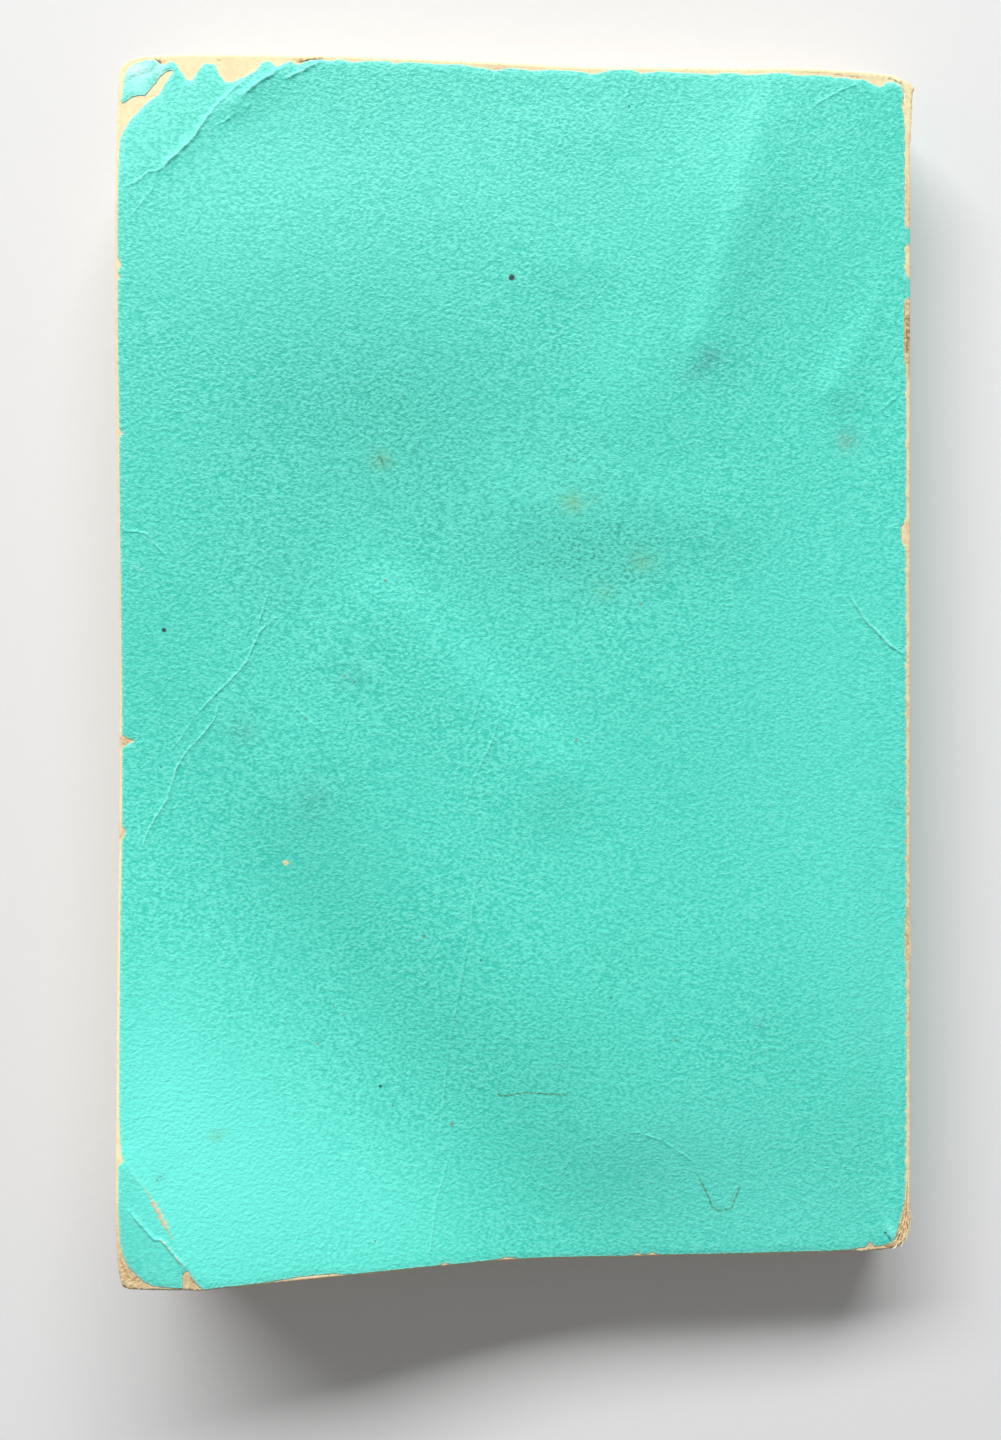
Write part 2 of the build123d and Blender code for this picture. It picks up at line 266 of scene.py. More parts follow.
# (line, height, half-width, how pale its worn top is); a negative height is a furrow
creases_px = [
    ([(256, 70), (242, 82), (232, 91), (222.5, 100.6), (215, 106.4), (212, 111.6), (207.5, 117.7),
      (200, 127.6), (197, 135), (189, 143.7), (177, 155), (161, 168)], 0.26, 0.34, 0.5),
    ([(177, 155), (161, 171), (149, 172), (137, 182), (122, 188)], 0.12, 0.26, 0.15),
    ([(279, 69), (273, 75.7), (261.4, 81.5), (250, 91), (243, 98)], 0.26, 0.36, 0.4),
    ([(322, 60), (302, 71.5), (284, 80.7)], 0.22, 0.34, 0.45),
    ([(252, 103), (240, 118)], 0.08, 0.22, 0.05),
    ([(236, 113), (222, 124)], 0.08, 0.22, 0.05),
    ([(252, 105), (240, 111), (228, 121), (217, 125), (209, 131)], 0.05, 0.24, 0.03),
    ([(155, 186), (129, 220)], 0.09, 0.24, 0.05),
    ([(160, 64), (151, 71), (142, 75), (134, 77), (124, 83)], -0.07, 0.3, 0.0),
    ([(158, 61), (148, 67), (138, 71), (127, 77)], 0.06, 0.3, 0.25),
    ([(124, 1161), (130, 1167), (137, 1179), (144, 1185), (152, 1200), (158, 1209), (162.5, 1218),
      (170, 1232), (175, 1240)], 0.13, 0.3, 0.3),
    ([(175, 1240), (187, 1262), (201, 1289)], 0.05, 0.4, 0.1),
    ([(129, 1209), (133, 1215), (143, 1227), (150, 1234), (155.5, 1240.5), (162, 1238.6), (168, 1246),
      (175, 1255), (184, 1264), (187, 1270)], 0.3, 0.3, 0.35),
    ([(122, 531), (138, 532), (146, 533), (156, 546), (169, 558)], 0.12, 0.2, 0.2),
    ([(279, 616), (269, 623), (260, 632), (254.5, 644), (247, 662), (233, 678), (212, 698), (194, 718)],
     0.16, 0.22, 0.35),
    ([(269, 593), (261, 616), (258, 629)], 0.12, 0.2, 0.2),
    ([(220, 701), (215, 720), (201, 737), (187, 751), (177, 767), (173, 781), (167, 800), (156, 817),
      (147, 833), (140, 855)], 0.16, 0.22, 0.4),
    ([(194, 718), (182, 737), (170, 752)], 0.09, 0.2, 0.1),
    ([(289, 701), (307, 718), (326, 734)], 0.09, 0.2, 0.1),
    ([(333, 763), (344, 781), (353, 803)], 0.09, 0.2, 0.1),
    ([(269, 489), (284, 501)], 0.04, 0.22, 0.05),
    ([(402, 687), (412, 694), (420, 711)], 0.04, 0.22, 0.05),
    ([(612, 293), (622, 298), (645, 323), (649, 359), (641, 384)], 0.05, 0.3, 0.0),
    ([(483, 687), (478, 704), (470, 730)], 0.08, 0.22, 0.15),
    ([(500, 708), (494, 737), (471, 784), (464, 812)], 0.1, 0.22, 0.2),
    ([(480, 845), (475, 885), (472, 918), (459, 994), (452, 1027), (448, 1053), (438, 1152),
      (427, 1179)], 0.1, 0.22, 0.2),
    ([(448, 1160), (436, 1202), (429, 1261)], 0.1, 0.22, 0.2),
    ([(847, 593), (851, 598), (857, 607), (864, 618), (869, 625.6), (873, 627), (883.5, 639),
      (891.4, 646.7), (905, 654.4)], 0.3, 0.27, 0.55),
    ([(812, 108), (825, 100), (843, 90), (858, 84.5)], 0.12, 0.24, 0.1),
    ([(879, 412), (902, 392)], 0.1, 0.24, 0.1),
    ([(774, 788), (812, 796)], 0.04, 0.24, 0.05),
    ([(857, 845), (904, 849)], 0.05, 0.26, 0.05),
    ([(631, 74), (626, 103)], 0.05, 0.24, 0.1),
    ([(534, 1120), (543, 1120), (553, 1128)], 0.04, 0.22, 0.05),
    ([(624, 1128), (637, 1128), (662, 1137), (683, 1152), (695, 1162)], 0.1, 0.22, 0.15),
    ([(532, 1216), (540, 1223)], 0.04, 0.22, 0.1),
    ([(885, 1224), (891, 1231), (896, 1238)], 0.2, 0.7, 0.5),
]

# Waves of the cover: (crest's upper end, lower end, half-widths right and left of the crest, height)
waves_px = [
    ((335, 785), (620, 1100), 120, 108, 1.7),
    ((485, 312), (285, 328), 110, 140, 1.1),
    ((300, 235), (120, 265), 80, 80, 0.4),
    ((765, 60), (655, 380), 125, 62, 0.95),
    ((770, 85), (702, 340), 38, 18, 0.6),
    ((905, 262), (838, 385), 30, 16, 0.5),
    ((392, 612), (544, 768), 34, 70, 0.85),
    ((720, 515), (530, 510), 45, 45, 0.45),
    ((600, 130), (540, 140), 30, 30, 0.15),
    ((600, 265), (550, 270), 30, 30, 0.2),
    ((900, 990), (760, 1000), 330, 150, 1.0),
    ((690, 205), (480, 205), 100, 170, 0.4),
    ((285, 66), (235, 102), 20, 6, 0.3),
    ((262, 66), (165, 165), 12, 4, 0.16),
    ((124, 1161), (201, 1289), 14, 7, 0.32),
]
WAVE_AT_EDGE = 0.4      # the share of a wave's height that is left at the cover's edge

# Past this line, inside the tail dog-ear, the cover turns down once more
ear_tip_reach = 12.8
ear_tip_angle = 43.5
ear_tip_slope = 0.105
ear_tip_softness = 0.6


# Colours

FACING_COLOUR = (0.088, 0.71, 0.575)
# The next two colours are painted highlight and painted shade: paler on the grain's lumps, darker in its
# hollows and in some soft patches
FACING_HIGHLIGHT = (0.155, 0.82, 0.685)
FACING_SHADE = (0.040, 0.60, 0.475)
DARK_SPECK = (0.055, 0.30, 0.22)
CORE_CREAM = (0.93, 0.80, 0.49)
CORE_YELLOW = (0.94, 0.87, 0.54)
CORE_GOLD = (0.92, 0.66, 0.34)
CORE_TAN = (0.76, 0.50, 0.28)
CORE_BROWN = (0.36, 0.19, 0.08)
INSIDE = (0.84, 0.73, 0.52)
INK = (0.012, 0.03, 0.04)
PENCIL = (0.10, 0.21, 0.08)
BROWN = (0.13, 0.11, 0.045)
RUST = (0.24, 0.21, 0.10)
OLIVE = (0.20, 0.46, 0.20)
DRAB = (0.27, 0.30, 0.20)
SLATE = (0.10, 0.34, 0.40)
CREAM = (0.86, 0.70, 0.42)
PALE = (0.45, 0.86, 0.76)
# A paler turquoise: partly faded facing, partly painted highlight
FADE_AND_HIGHLIGHT = (0.165, 0.90, 0.775)
FLAP = (0.36, 0.88, 0.80)
FLAP_HIGHLIGHT = (0.62, 0.95, 0.90)
RUST_EDGE = (0.55, 0.30, 0.10)
RIM = (0.50, 0.84, 0.72)
DEEP = (0.03, 0.22, 0.18)
TAN = (0.62, 0.42, 0.22)
PINKISH = (0.66, 0.43, 0.30)
OAT = (0.74, 0.62, 0.42)
WHITE = (0.85, 0.90, 0.86)
PAGE_CREAM = (0.83, 0.76, 0.60)
PAGE_YELLOW = (0.79, 0.69, 0.49)
PAGE_BROWN = (0.50, 0.36, 0.19)
GLUE_PALE = (0.72, 0.62, 0.42)
GLUE_BROWN = (0.48, 0.34, 0.17)
FLOOR_PALE = (0.82, 0.82, 0.82)
FLOOR_GREY = (0.80, 0.80, 0.80)
TINT = 0.8      # how strongly a hidden side or a fibre is tinted


# Stains, marks and bare spots, with painted shade and highlight along some creases

# (line, half-width in mm, colour, strength)
strokes_px = [
    ([(144.5, 1186.5), (150, 1195), (155, 1204)], 0.16, TAN, 0.6),
    ([(152, 1199), (158, 1209), (163, 1219), (168.5, 1229)], 0.44, OAT, 1.0),
    ([(166, 1225), (169.5, 1231), (173, 1239)], 0.18, TAN, 0.5),
    ([(151, 1201), (156, 1210), (161, 1220), (167, 1231)], 0.16, TAN, 0.5),
    ([(176, 1256), (180, 1260), (183, 1265)], 0.2, TAN, 0.7),
    # The dark DEEP lines along the step at the tail dog-ear are painted shade, and the PALE line beside them
    # is painted highlight.
    ([(128, 1210.4), (136, 1221.4), (149, 1235.4), (154, 1240)], 0.11, DEEP, 0.5),
    ([(160, 1238), (165, 1242.5), (170, 1249)], 0.2, OAT, 0.8),
    ([(169, 1246), (177, 1256), (187, 1270)], 0.1, PALE, 0.6),
    ([(162, 1242), (170, 1251), (178, 1261)], 0.12, DEEP, 0.45),
    ([(886.4, 1228), (890.5, 1234), (894.2, 1238.6)], 0.34, FADE_AND_HIGHLIGHT, 0.95),
    ([(888, 1225), (893, 1232), (896, 1235)], 0.3, FADE_AND_HIGHLIGHT, 0.75),
    ([(892, 1221.5), (896.5, 1228), (898, 1230)], 0.3, FADE_AND_HIGHLIGHT, 0.5),
    ([(886, 83.6), (891, 82.8), (896, 83.8), (900.6, 87.6), (903, 94)], 0.16, PALE, 0.8),
    ([(884, 1231), (888, 1236), (891.4, 1242.4)], 0.22, DEEP, 1.0),
    ([(907.6, 301), (908.2, 330), (907.6, 363)], 0.14, BROWN, 0.6),
    ([(118.6, 276.6), (121.5, 277.2)], 0.12, WHITE, 0.9),
    # A painted shade along the furrow across the peeled flap
    ([(160, 64), (151, 71), (142, 75), (134, 77), (124, 83)], 0.16, DEEP, 0.3),
    ([(125, 451), (130, 457), (135, 460)], 0.12, PALE, 0.8),
    ([(126, 479), (127, 482)], 0.2, PALE, 0.9),
    ([(133, 565), (146, 572)], 0.1, PALE, 0.7),
    ([(123, 586), (133, 590)], 0.1, PALE, 0.6),
    ([(497.6, 1084.6), (498.2, 1090), (499.6, 1094), (510, 1093), (521, 1089.8), (538, 1090.4),
      (558, 1091), (571, 1092.2)], 0.2, PENCIL, 0.8),
    ([(695.8, 1171.6), (703.6, 1186.4), (709, 1198), (711.6, 1206), (718, 1209.8), (728.4, 1208.2),
      (732.4, 1204.4), (735.8, 1194), (740.2, 1182.4)], 0.22, PENCIL, 0.8),
    ([(713, 1202), (719, 1206.4), (727, 1205)], 0.12, PENCIL, 0.4),
    ([(730.4, 1201), (731.6, 1195.4), (735.8, 1187.6)], 0.14, PENCIL, 0.6),
    ([(740.2, 1182.4), (739.8, 1154), (738.8, 1135)], 0.11, PENCIL, 0.4),
    ([(379, 456), (382, 461), (384, 467)], 0.24, INK, 0.55),
    ([(420, 440), (422, 452), (417, 456)], 0.13, DEEP, 0.5),
    ([(762, 1030), (763, 1053)], 0.07, PENCIL, 0.25),
    ([(768, 1030), (768, 1050)], 0.07, PENCIL, 0.25),
    ([(617, 940), (624, 950), (630, 961)], 0.08, PENCIL, 0.3),
    ([(628, 928), (633, 944), (636, 955)], 0.08, PENCIL, 0.25),
    ([(557, 1061), (566, 1063)], 0.12, BROWN, 0.5),
]

# The same on the bare core
core_strokes_px = [
    ([(850, 72.8), (880, 75), (895, 78.4), (905, 85), (909, 95), (909, 112), (909, 138)], 0.6,
     CORE_YELLOW, 0.7),
    # The two CORE_GOLD lines at the tail corner give the bare core its orange tone and are painted brighter
    # as well, a painted highlight against its shade
    ([(118, 1258), (120.4, 1274), (128, 1284), (142, 1289)], 0.9, CORE_GOLD, 0.5),
    ([(185, 1273), (191, 1281), (197, 1288)], 0.7, CORE_GOLD, 0.5),
    ([(833, 75.4), (838, 75), (843, 75.8)], 0.15, CORE_BROWN, 0.6),
    ([(847, 76), (854, 76.4), (861, 77.6)], 0.18, CORE_BROWN, 0.45),
    ([(800, 72.6), (815, 73.4), (826, 73.2)], 0.1, CORE_BROWN, 0.3),
    ([(888, 77.6), (894, 79.4), (899, 81.8), (902, 84.4)], 0.15, BROWN, 0.7),
    ([(903.4, 102.6), (905.6, 106)], 0.16, BROWN, 0.8),
    ([(905, 107), (905.8, 111), (907, 114)], 0.1, CORE_BROWN, 0.5),
    ([(910.6, 92), (909.8, 101), (910.2, 114), (909.4, 132)], 0.22, CORE_CREAM, 0.8),
    ([(907.4, 88), (907, 96), (907.6, 104)], 0.1, CORE_TAN, 0.7),
    ([(906, 118), (906.6, 130), (906.2, 144)], 0.1, CORE_TAN, 0.6),
    ([(907, 172), (907.4, 186), (907, 200), (907.2, 214)], 0.28, PINKISH, 0.6),
    ([(297, 62.4), (303, 60.6), (312, 59), (323, 58.2)], 0.17, BROWN, 0.8),
    ([(154.6, 58.2), (158, 60.4), (161, 63.4)], 0.15, BROWN, 0.75),
    ([(138, 97.4), (146, 97), (152, 95.6), (158, 94.4)], 0.11, RUST_EDGE, 0.35),
    ([(161, 90.6), (166, 83), (171, 75.6)], 0.1, RUST_EDGE, 0.25),
    ([(217, 59.2), (220.6, 59.8)], 0.12, BROWN, 0.7),
    ([(120, 1283), (126, 1285.6), (135, 1287)], 0.24, CORE_CREAM, 0.7),
    ([(119, 1262), (121.6, 1270), (126, 1277)], 0.2, CORE_BROWN, 0.45),
    ([(124, 1279), (131, 1282.6), (139, 1284.6)], 0.16, CORE_BROWN, 0.5),
    ([(186, 1273), (190, 1279), (196, 1286)], 0.2, PINKISH, 0.6),
    ([(190, 1276), (195.6, 1283), (200.6, 1288)], 0.12, BROWN, 0.5),
    ([(899, 1237), (902.4, 1233), (904.6, 1228)], 0.14, CORE_BROWN, 0.7),
    ([(897, 1243.6), (902, 1241), (906, 1234)], 0.16, CORE_CREAM, 0.75),
    ([(905, 1216), (906.6, 1206), (907, 1196)], 0.16, PINKISH, 0.7),
    ([(869, 1247.6), (871.4, 1244), (875, 1248.6)], 0.24, PINKISH, 0.8),
    ([(858, 1249.4), (866, 1249)], 0.16, PINKISH, 0.5),
]

# (place, radius in mm, colour, strength)
spots_px = [
    ((511.5, 280), 0.62, INK, 1.0), ((164, 630), 0.42, INK, 1.0), ((286.6, 862), 0.56, CREAM, 1.0),
    ((629, 107), 0.22, INK, 0.9), ((161, 767), 0.18, INK, 0.8), ((628, 360), 0.16, INK, 0.7),
    ((586, 524), 0.16, BROWN, 0.9), ((573, 461), 0.16, BROWN, 0.8), ((380.6, 1086), 0.34, INK, 0.85),
    ((393, 1105), 0.16, BROWN, 0.8), ((375, 1241), 0.16, BROWN, 0.8), ((533, 1243), 0.16, BROWN, 0.8),
    ((481, 958), 0.26, DEEP, 0.9), ((563, 889), 0.2, DEEP, 0.8), ((610, 995), 0.26, DEEP, 0.9),
    ((373, 473), 0.2, BROWN, 0.5), ((386, 581), 0.3, RUST, 0.7), ((345, 676), 0.3, RUST, 0.5),
    ((307, 718), 0.26, RUST, 0.6), ((334, 1006), 0.24, BROWN, 0.5), ((344, 1014), 0.28, RUST, 0.6),
    ((318, 1043), 0.3, RUST, 0.6), ((425, 935), 0.32, RUST, 0.7), ((576, 740), 0.34, RUST, 0.6),
    ((641, 604), 0.34, RUST, 0.6), ((674, 1037), 0.34, RUST, 0.6), ((452, 1123), 0.42, RUST, 0.7),
    ((372, 1170), 0.22, RUST, 0.5), ((160, 1177), 0.3, SLATE, 0.5), ((157.5, 1180), 0.2, DEEP, 0.5),
    ((161, 1193), 0.18, DEEP, 0.5), ((591, 1112), 0.18, BROWN, 0.5), ((758, 1024), 0.3, BROWN, 0.4),
]

# Soft stains, and some soft patches of painted shade and highlight: (place, half-widths in pixels, colour,
# strength)
smudges_px = [
    ((572, 503), (11, 11), OLIVE, 0.7), ((596, 500), (6, 5), OLIVE, 0.4), ((216, 1135), (7, 5), OLIVE, 0.6),
    ((642, 563), (14, 12), OLIVE, 0.5), ((604, 591), (12, 9), OLIVE, 0.35),
    ((243, 732), (14, 12), BROWN, 0.22), ((314, 800), (11, 20), BROWN, 0.14),
    ((352, 680), (14, 9), BROWN, 0.12), ((381, 461), (11, 10), OLIVE, 0.55),
    ((846, 442), (11, 9), DRAB, 0.5), ((710, 357), (8, 6), SLATE, 0.7), ((702, 367), (7, 5), SLATE, 0.55),
    ((690, 377), (10, 5), SLATE, 0.45), ((760, 1022), (10, 9), SLATE, 0.2), ((893, 803), (9, 6), SLATE, 0.3),
    # FLAP paints the peeled flap at the head corner paler, partly its own tone and partly painted highlight;
    # the still paler patches on the next line are painted highlight.
    ((161, 1178), (5, 5), BROWN, 0.22), ((138, 84), (15, 17), FLAP, 0.8),
    ((137, 69), (17, 8), FLAP_HIGHLIGHT, 0.75), ((161, 72), (6, 9), FLAP_HIGHLIGHT, 0.6),
    # The darker facing-colour patches on this line and the next are painted shade, not stains.
    ((650, 165), (50, 90), FACING_SHADE, 0.3), ((885, 115), (45, 75), FACING_SHADE, 0.38),
    ((520, 265), (120, 60), FACING_SHADE, 0.15), ((850, 430), (10, 6), SLATE, 0.2),
]

# Where the facing is painted paler, partly as faded facing and partly as painted highlight where the light
# falls brighter: (place, half-widths in pixels, amount)
fade_and_highlight_px = [
    ((225, 1180), (120, 130), 0.85), ((150, 1080), (55, 110), 0.5), ((395, 1215), (70, 70), 0.35),
    ((840, 760), (120, 260), 0.24), ((760, 1215), (170, 60), 0.32), ((890, 1000), (60, 120), 0.3),
    ((892, 1230), (9, 9), 0.6), ((705, 1132), (95, 55), 0.3),
]

# Where the facing is darker, with dark specks in the grain's hollows: (place, half-widths in pixels, amount)
darker_grain_px = [
    ((560, 530), (120, 70), 0.55), ((600, 565), (60, 40), 0.5), ((395, 425), (90, 80), 0.5),
    ((285, 580), (60, 60), 0.35), ((330, 690), (70, 50), 0.3), ((245, 725), (40, 35), 0.3),
    ((320, 800), (40, 45), 0.3), ((580, 1070), (90, 70), 0.3), ((370, 1055), (110, 80), 0.3),
    ((625, 950), (40, 40), 0.35), ((700, 370), (40, 30), 0.3), ((570, 460), (50, 40), 0.3),
]

# Where the grain is pressed flat: (place, half-widths in pixels, share of its depth that is lost)
calm_px = [
    ((185, 165), (110, 95), 0.32), ((140, 82), (20, 24), 0.45), ((140, 1245), (34, 44), 0.45),
    ((300, 190), (160, 70), 0.1),
]


# Small helpers for lines and meshes

FAR = 1e6
ROW_GAP = 0.866             # between rows of a net of equal triangles, as a share of its step
CLOSEST_POINTS = 0.09       # mesh points inside an outline are thinned to this spacing
WAVE_PARTS = (1.0, 0.53, 0.31)
WAVE_SUM = 1.6
FULL_TURN = 6.28


def looped(outline):
    """A closed outline with its first point again at its end."""
    return np.vstack([outline, outline[:1]])


def length_of(line):
    return np.hypot(*np.diff(line, axis=0).T).sum()


def spread(points, step, closed=False):
    """Points at an even spacing along a line of straight runs."""
    points = np.asarray(points, float)
    ends = looped(points) if closed else points
    runs = np.hypot(*np.diff(ends, axis=0).T)
    along = np.concatenate([[0], np.cumsum(runs)])
    count = max(2, int(round(along[-1] / step)))
    where = np.linspace(0, along[-1], count + 1)
    if closed:
        where = where[:-1]
    return np.stack([np.interp(where, along, ends[:, 0]), np.interp(where, along, ends[:, 1])], 1)


def normals_of(line, closed=False):
    """Directions across a line, to its left."""
    if closed:
        ahead = np.roll(line, -1, 0) - np.roll(line, 1, 0)
    else:
        ahead = np.gradient(line, axis=0)
    ahead /= np.maximum(np.hypot(*ahead.T), 1e-9)[:, None]
    return np.stack([-ahead[:, 1], ahead[:, 0]], 1)


def wavy(along, wavelength, seed):
    """A smooth irregular wave between about -1 and 1, always the same for a seed."""
    draw = np.random.default_rng(seed)
    total = np.zeros_like(along, dtype=float)
    for share in WAVE_PARTS:
        total += share * np.sin(2 * math.pi * along / (wavelength * share) + draw.uniform(0, FULL_TURN))
    return total / WAVE_SUM


def own_seed(line, across, up):
    """A seed from where a line starts, so that each line is uneven in its own way."""
    x, y = line[0]
    return int(abs(x * across + y * up))


def bell(distance, width):
    """1 at the middle, fading softly to both sides."""
    return np.exp(-(distance / width) ** 2)


def tapered(share, steepness, least=0):
    """1 along most of a line, fading towards its two ends."""
    return np.clip(steepness * share * (1 - share), least, 1)


def bands(outline, depths):
    """Copies of a clockwise outline at some depths inside it."""
    return [outline - normals_of(outline, True) * depth for depth in depths]


def nearest_on(line, points, reach):
    """Each point's distance to a line and share of the way along it; beyond reach the distance is huge."""
    distance = np.full(len(points), FAR)
    share = np.zeros(len(points))
    low, high = line.min(0) - reach, line.max(0) + reach
    near = np.nonzero(np.all((points > low) & (points < high), 1))[0]
    if len(near) == 0:
        return distance, share
    spots = points[near]
    best = np.full(len(near), FAR)
    where = np.zeros(len(near))
    runs = np.hypot(*np.diff(line, axis=0).T)
    total = max(runs.sum(), 1e-9)
    start = 0.0
    for a, b, run in zip(line[:-1], line[1:], runs):
        if run < 1e-9:
            continue
        t = np.clip(((spots - a) @ (b - a)) / run ** 2, 0, 1)
        gap = np.hypot(*(spots - a - t[:, None] * (b - a)).T)
        closer = gap < best
        best[closer] = gap[closer]
        where[closer] = (start + t[closer] * run) / total
        start += run
    distance[near] = best
    share[near] = where
    return distance, share


def inside(outline, points):
    """Which points lie inside a closed outline."""
    crossings = np.zeros(len(points), bool)
    px, py = points[:, 0], points[:, 1]
    for (x0, y0), (x1, y1) in zip(outline, np.roll(outline, -1, 0)):
        if y0 == y1:
            continue
        spans = (y0 > py) != (y1 > py)
        crossings ^= spans & (px < (x1 - x0) * (py - y0) / (y1 - y0) + x0)
    return crossings


def grid(low, high, step):
    """Staggered rows of points that fill a rectangle."""
    rows = []
    for i, y in enumerate(np.arange(low[1], high[1], step * ROW_GAP)):
        xs = np.arange(low[0] + (i % 2) * step / 2, high[0], step)
        rows.append(np.stack([xs, np.full(len(xs), y)], 1))
    return np.vstack(rows)


def thinned(points, cell):
    """The points without those that share a small cell with an earlier one."""
    _, first = np.unique(np.round(points / cell).astype(int), axis=0, return_index=True)
    return points[np.sort(first)]


def filled(outline, inner, margin):
    """Points and triangles that fill an outline; points closer to the outline than margin are dropped."""
    inner = inner[inside(outline, inner)]
    gap, _ = nearest_on(looped(outline), inner, margin)
    inner = thinned(inner[gap > margin], CLOSEST_POINTS)
    count = len(outline)
    points = [Vector(p) for p in np.vstack([outline, inner])]
    rim = [(i, (i + 1) % count) for i in range(count)]
    found, _, triangles, *_ = delaunay_2d_cdt(points, rim, [], 0, 1e-6)
    flat = np.array([(p.x, p.y) for p in found])
    triangles = np.array([t for t in triangles if len(t) == 3])
    triangles = triangles[inside(outline, flat[triangles].mean(1))]
    a, b, c = flat[triangles[:, 0]], flat[triangles[:, 1]], flat[triangles[:, 2]]
    turned = (b - a)[:, 0] * (c - a)[:, 1] - (b - a)[:, 1] * (c - a)[:, 0] < 0
    triangles[turned] = triangles[turned][:, ::-1]
    used = np.unique(triangles)
    new_index = np.full(len(flat), -1)
    new_index[used] = np.arange(len(used))
    return flat[used], new_index[triangles]


def rim_edges(triangles):
    """Edges that only one triangle has, in that triangle's direction."""
    edges = np.vstack([triangles[:, [0, 1]], triangles[:, [1, 2]], triangles[:, [2, 0]]])
    keys = np.sort(edges, 1)
    _, first, counts = np.unique(keys, axis=0, return_index=True, return_counts=True)
    return edges[first[counts == 1]]


def ring_faces(rings, around, flip):
    """Quads between rings of points that follow on one another; flip turns them to face the other way."""
    faces = []
    for i in range(rings - 1):
        for j in range(around):
            k = (j + 1) % around
            quad = [i * around + j, i * around + k, (i + 1) * around + k, (i + 1) * around + j]
            faces.append(quad[::-1] if flip else quad)
    return faces


def unpainted(points):
    """A colour and its strength for each point, with nothing painted yet."""
    return np.zeros((len(points), 4))


def at_height(flat, height):
    return np.column_stack([flat, np.broadcast_to(height, len(flat))])


def add_object(name, data):
    made = bpy.data.objects.new(name, data)
    bpy.context.scene.collection.objects.link(made)
    return made


def make_piece(name, points, faces, smooth, material, numbers, paint=None):
    """A mesh object from points in mm; smooth says which faces are shaded smooth."""
    mesh = bpy.data.meshes.new(name)
    mesh.from_pydata((np.asarray(points) * MM).tolist(), [], [list(map(int, f)) for f in faces])
    mesh.polygons.foreach_set("use_smooth", np.asarray(smooth, bool))
    if paint is not None:
        layer = mesh.attributes.new("paint", "FLOAT_COLOR", "POINT")
        layer.data.foreach_set("color", np.asarray(paint, np.float32).ravel())
    for label, values in numbers.items():
        layer = mesh.attributes.new(label, "FLOAT", "POINT")
        layer.data.foreach_set("value", np.asarray(values, np.float32))
    mesh.materials.append(material)
    mesh.update()
    piece = add_object(name, mesh)
    return piece


def sheet(name, flat, triangles, upper, lower, material, paint, numbers, under=INSIDE):
    """A closed thin sheet between two surfaces over the same flat points.

    under is the colour of its lower side, or None where that is painted like the upper side.
    """
    count = len(flat)
    edges = rim_edges(triangles)
    sides = np.stack([edges[:, 0], edges[:, 0] + count, edges[:, 1] + count, edges[:, 1]], 1)
    faces = triangles.tolist() + (triangles[:, ::-1] + count).tolist() + sides.tolist()
    smooth = [True] * (2 * len(triangles)) + [False] * len(sides)
    lower_paint = paint if under is None else np.tile((*under, TINT), (count, 1))
    numbers = {label: np.tile(values, 2) for label, values in numbers.items()}
    return make_piece(name, np.vstack([upper, lower]), faces, smooth, material, numbers,
                      np.vstack([paint, lower_paint]))


# Materials

class Recipe:
    """Short calls for building one material's nodes."""

    def __init__(self, name, roughness, specular):
        self.material = bpy.data.materials.new(name)
        self.material.use_nodes = True
        self.tree = self.material.node_tree
        self.shader = self.tree.nodes["Principled BSDF"]
        self.shader.inputs["Roughness"].default_value = roughness
        self.shader.inputs["Specular IOR Level"].default_value = specular

    def node(self, kind, outlet, inputs, **settings):
        made = self.tree.nodes.new("ShaderNode" + kind)
        for label, value in settings.items():
            setattr(made, label, value)
        for key, value in inputs.items():
            if isinstance(value, bpy.types.NodeSocket):
                self.tree.links.new(value, made.inputs[key])
            else:
                made.inputs[key].default_value = value
        return made.outputs[outlet]

    def place(self, stretch=(1, 1, 1), turn=0.0):
        """The piece's own coordinates in millimetres, stretched along its axes."""
        own = self.node("TexCoord", "Object", {})
        scale = tuple(1 / (MM * s) for s in stretch)
        turned = (0, 0, math.radians(turn))
        return self.node("Mapping", "Vector", {"Vector": own, "Rotation": turned, "Scale": scale})

    def noise(self, where, size, detail=3.0, roughness=0.55):
        """Cloudy noise whose lumps are about size millimetres."""
        inputs = {"Vector": where, "Scale": 1 / size, "Detail": detail, "Roughness": roughness}
        return self.node("TexNoise", "Fac", inputs)

    def cells(self, where, size):
        return self.node("TexVoronoi", "Distance", {"Vector": where, "Scale": 1 / size}, feature="F1")

    def maths(self, operation, a, b):
        return self.node("Math", "Value", {0: a, 1: b}, operation=operation)

    def times(self, a, b):
        return self.maths("MULTIPLY", a, b)

    def plus(self, a, b):
        return self.maths("ADD", a, b)

    def span(self, value, low, high, to_low=0.0, to_high=1.0):
        inputs = {"Value": value, "From Min": low, "From Max": high, "To Min": to_low, "To Max": to_high}
        return self.node("MapRange", "Result", inputs, interpolation_type="SMOOTHSTEP")

    def mix(self, share, a, b):
        a, b = (value if isinstance(value, bpy.types.NodeSocket) else (*value, 1.0) for value in (a, b))
        return self.node("Mix", 2, {0: share, 6: a, 7: b}, data_type="RGBA")

    def attribute(self, label, outlet):
        return self.node("Attribute", outlet, {}, attribute_name=label)

    def finish(self, colour, height=None, depth=0.0):
        self.tree.links.new(colour, self.shader.inputs["Base Color"])
        if height is not None:
            bump = self.node("Bump", "Normal", {"Height": height, "Distance": depth * MM, "Strength": 1.0})
            self.tree.links.new(bump, self.shader.inputs["Normal"])
        return self.material


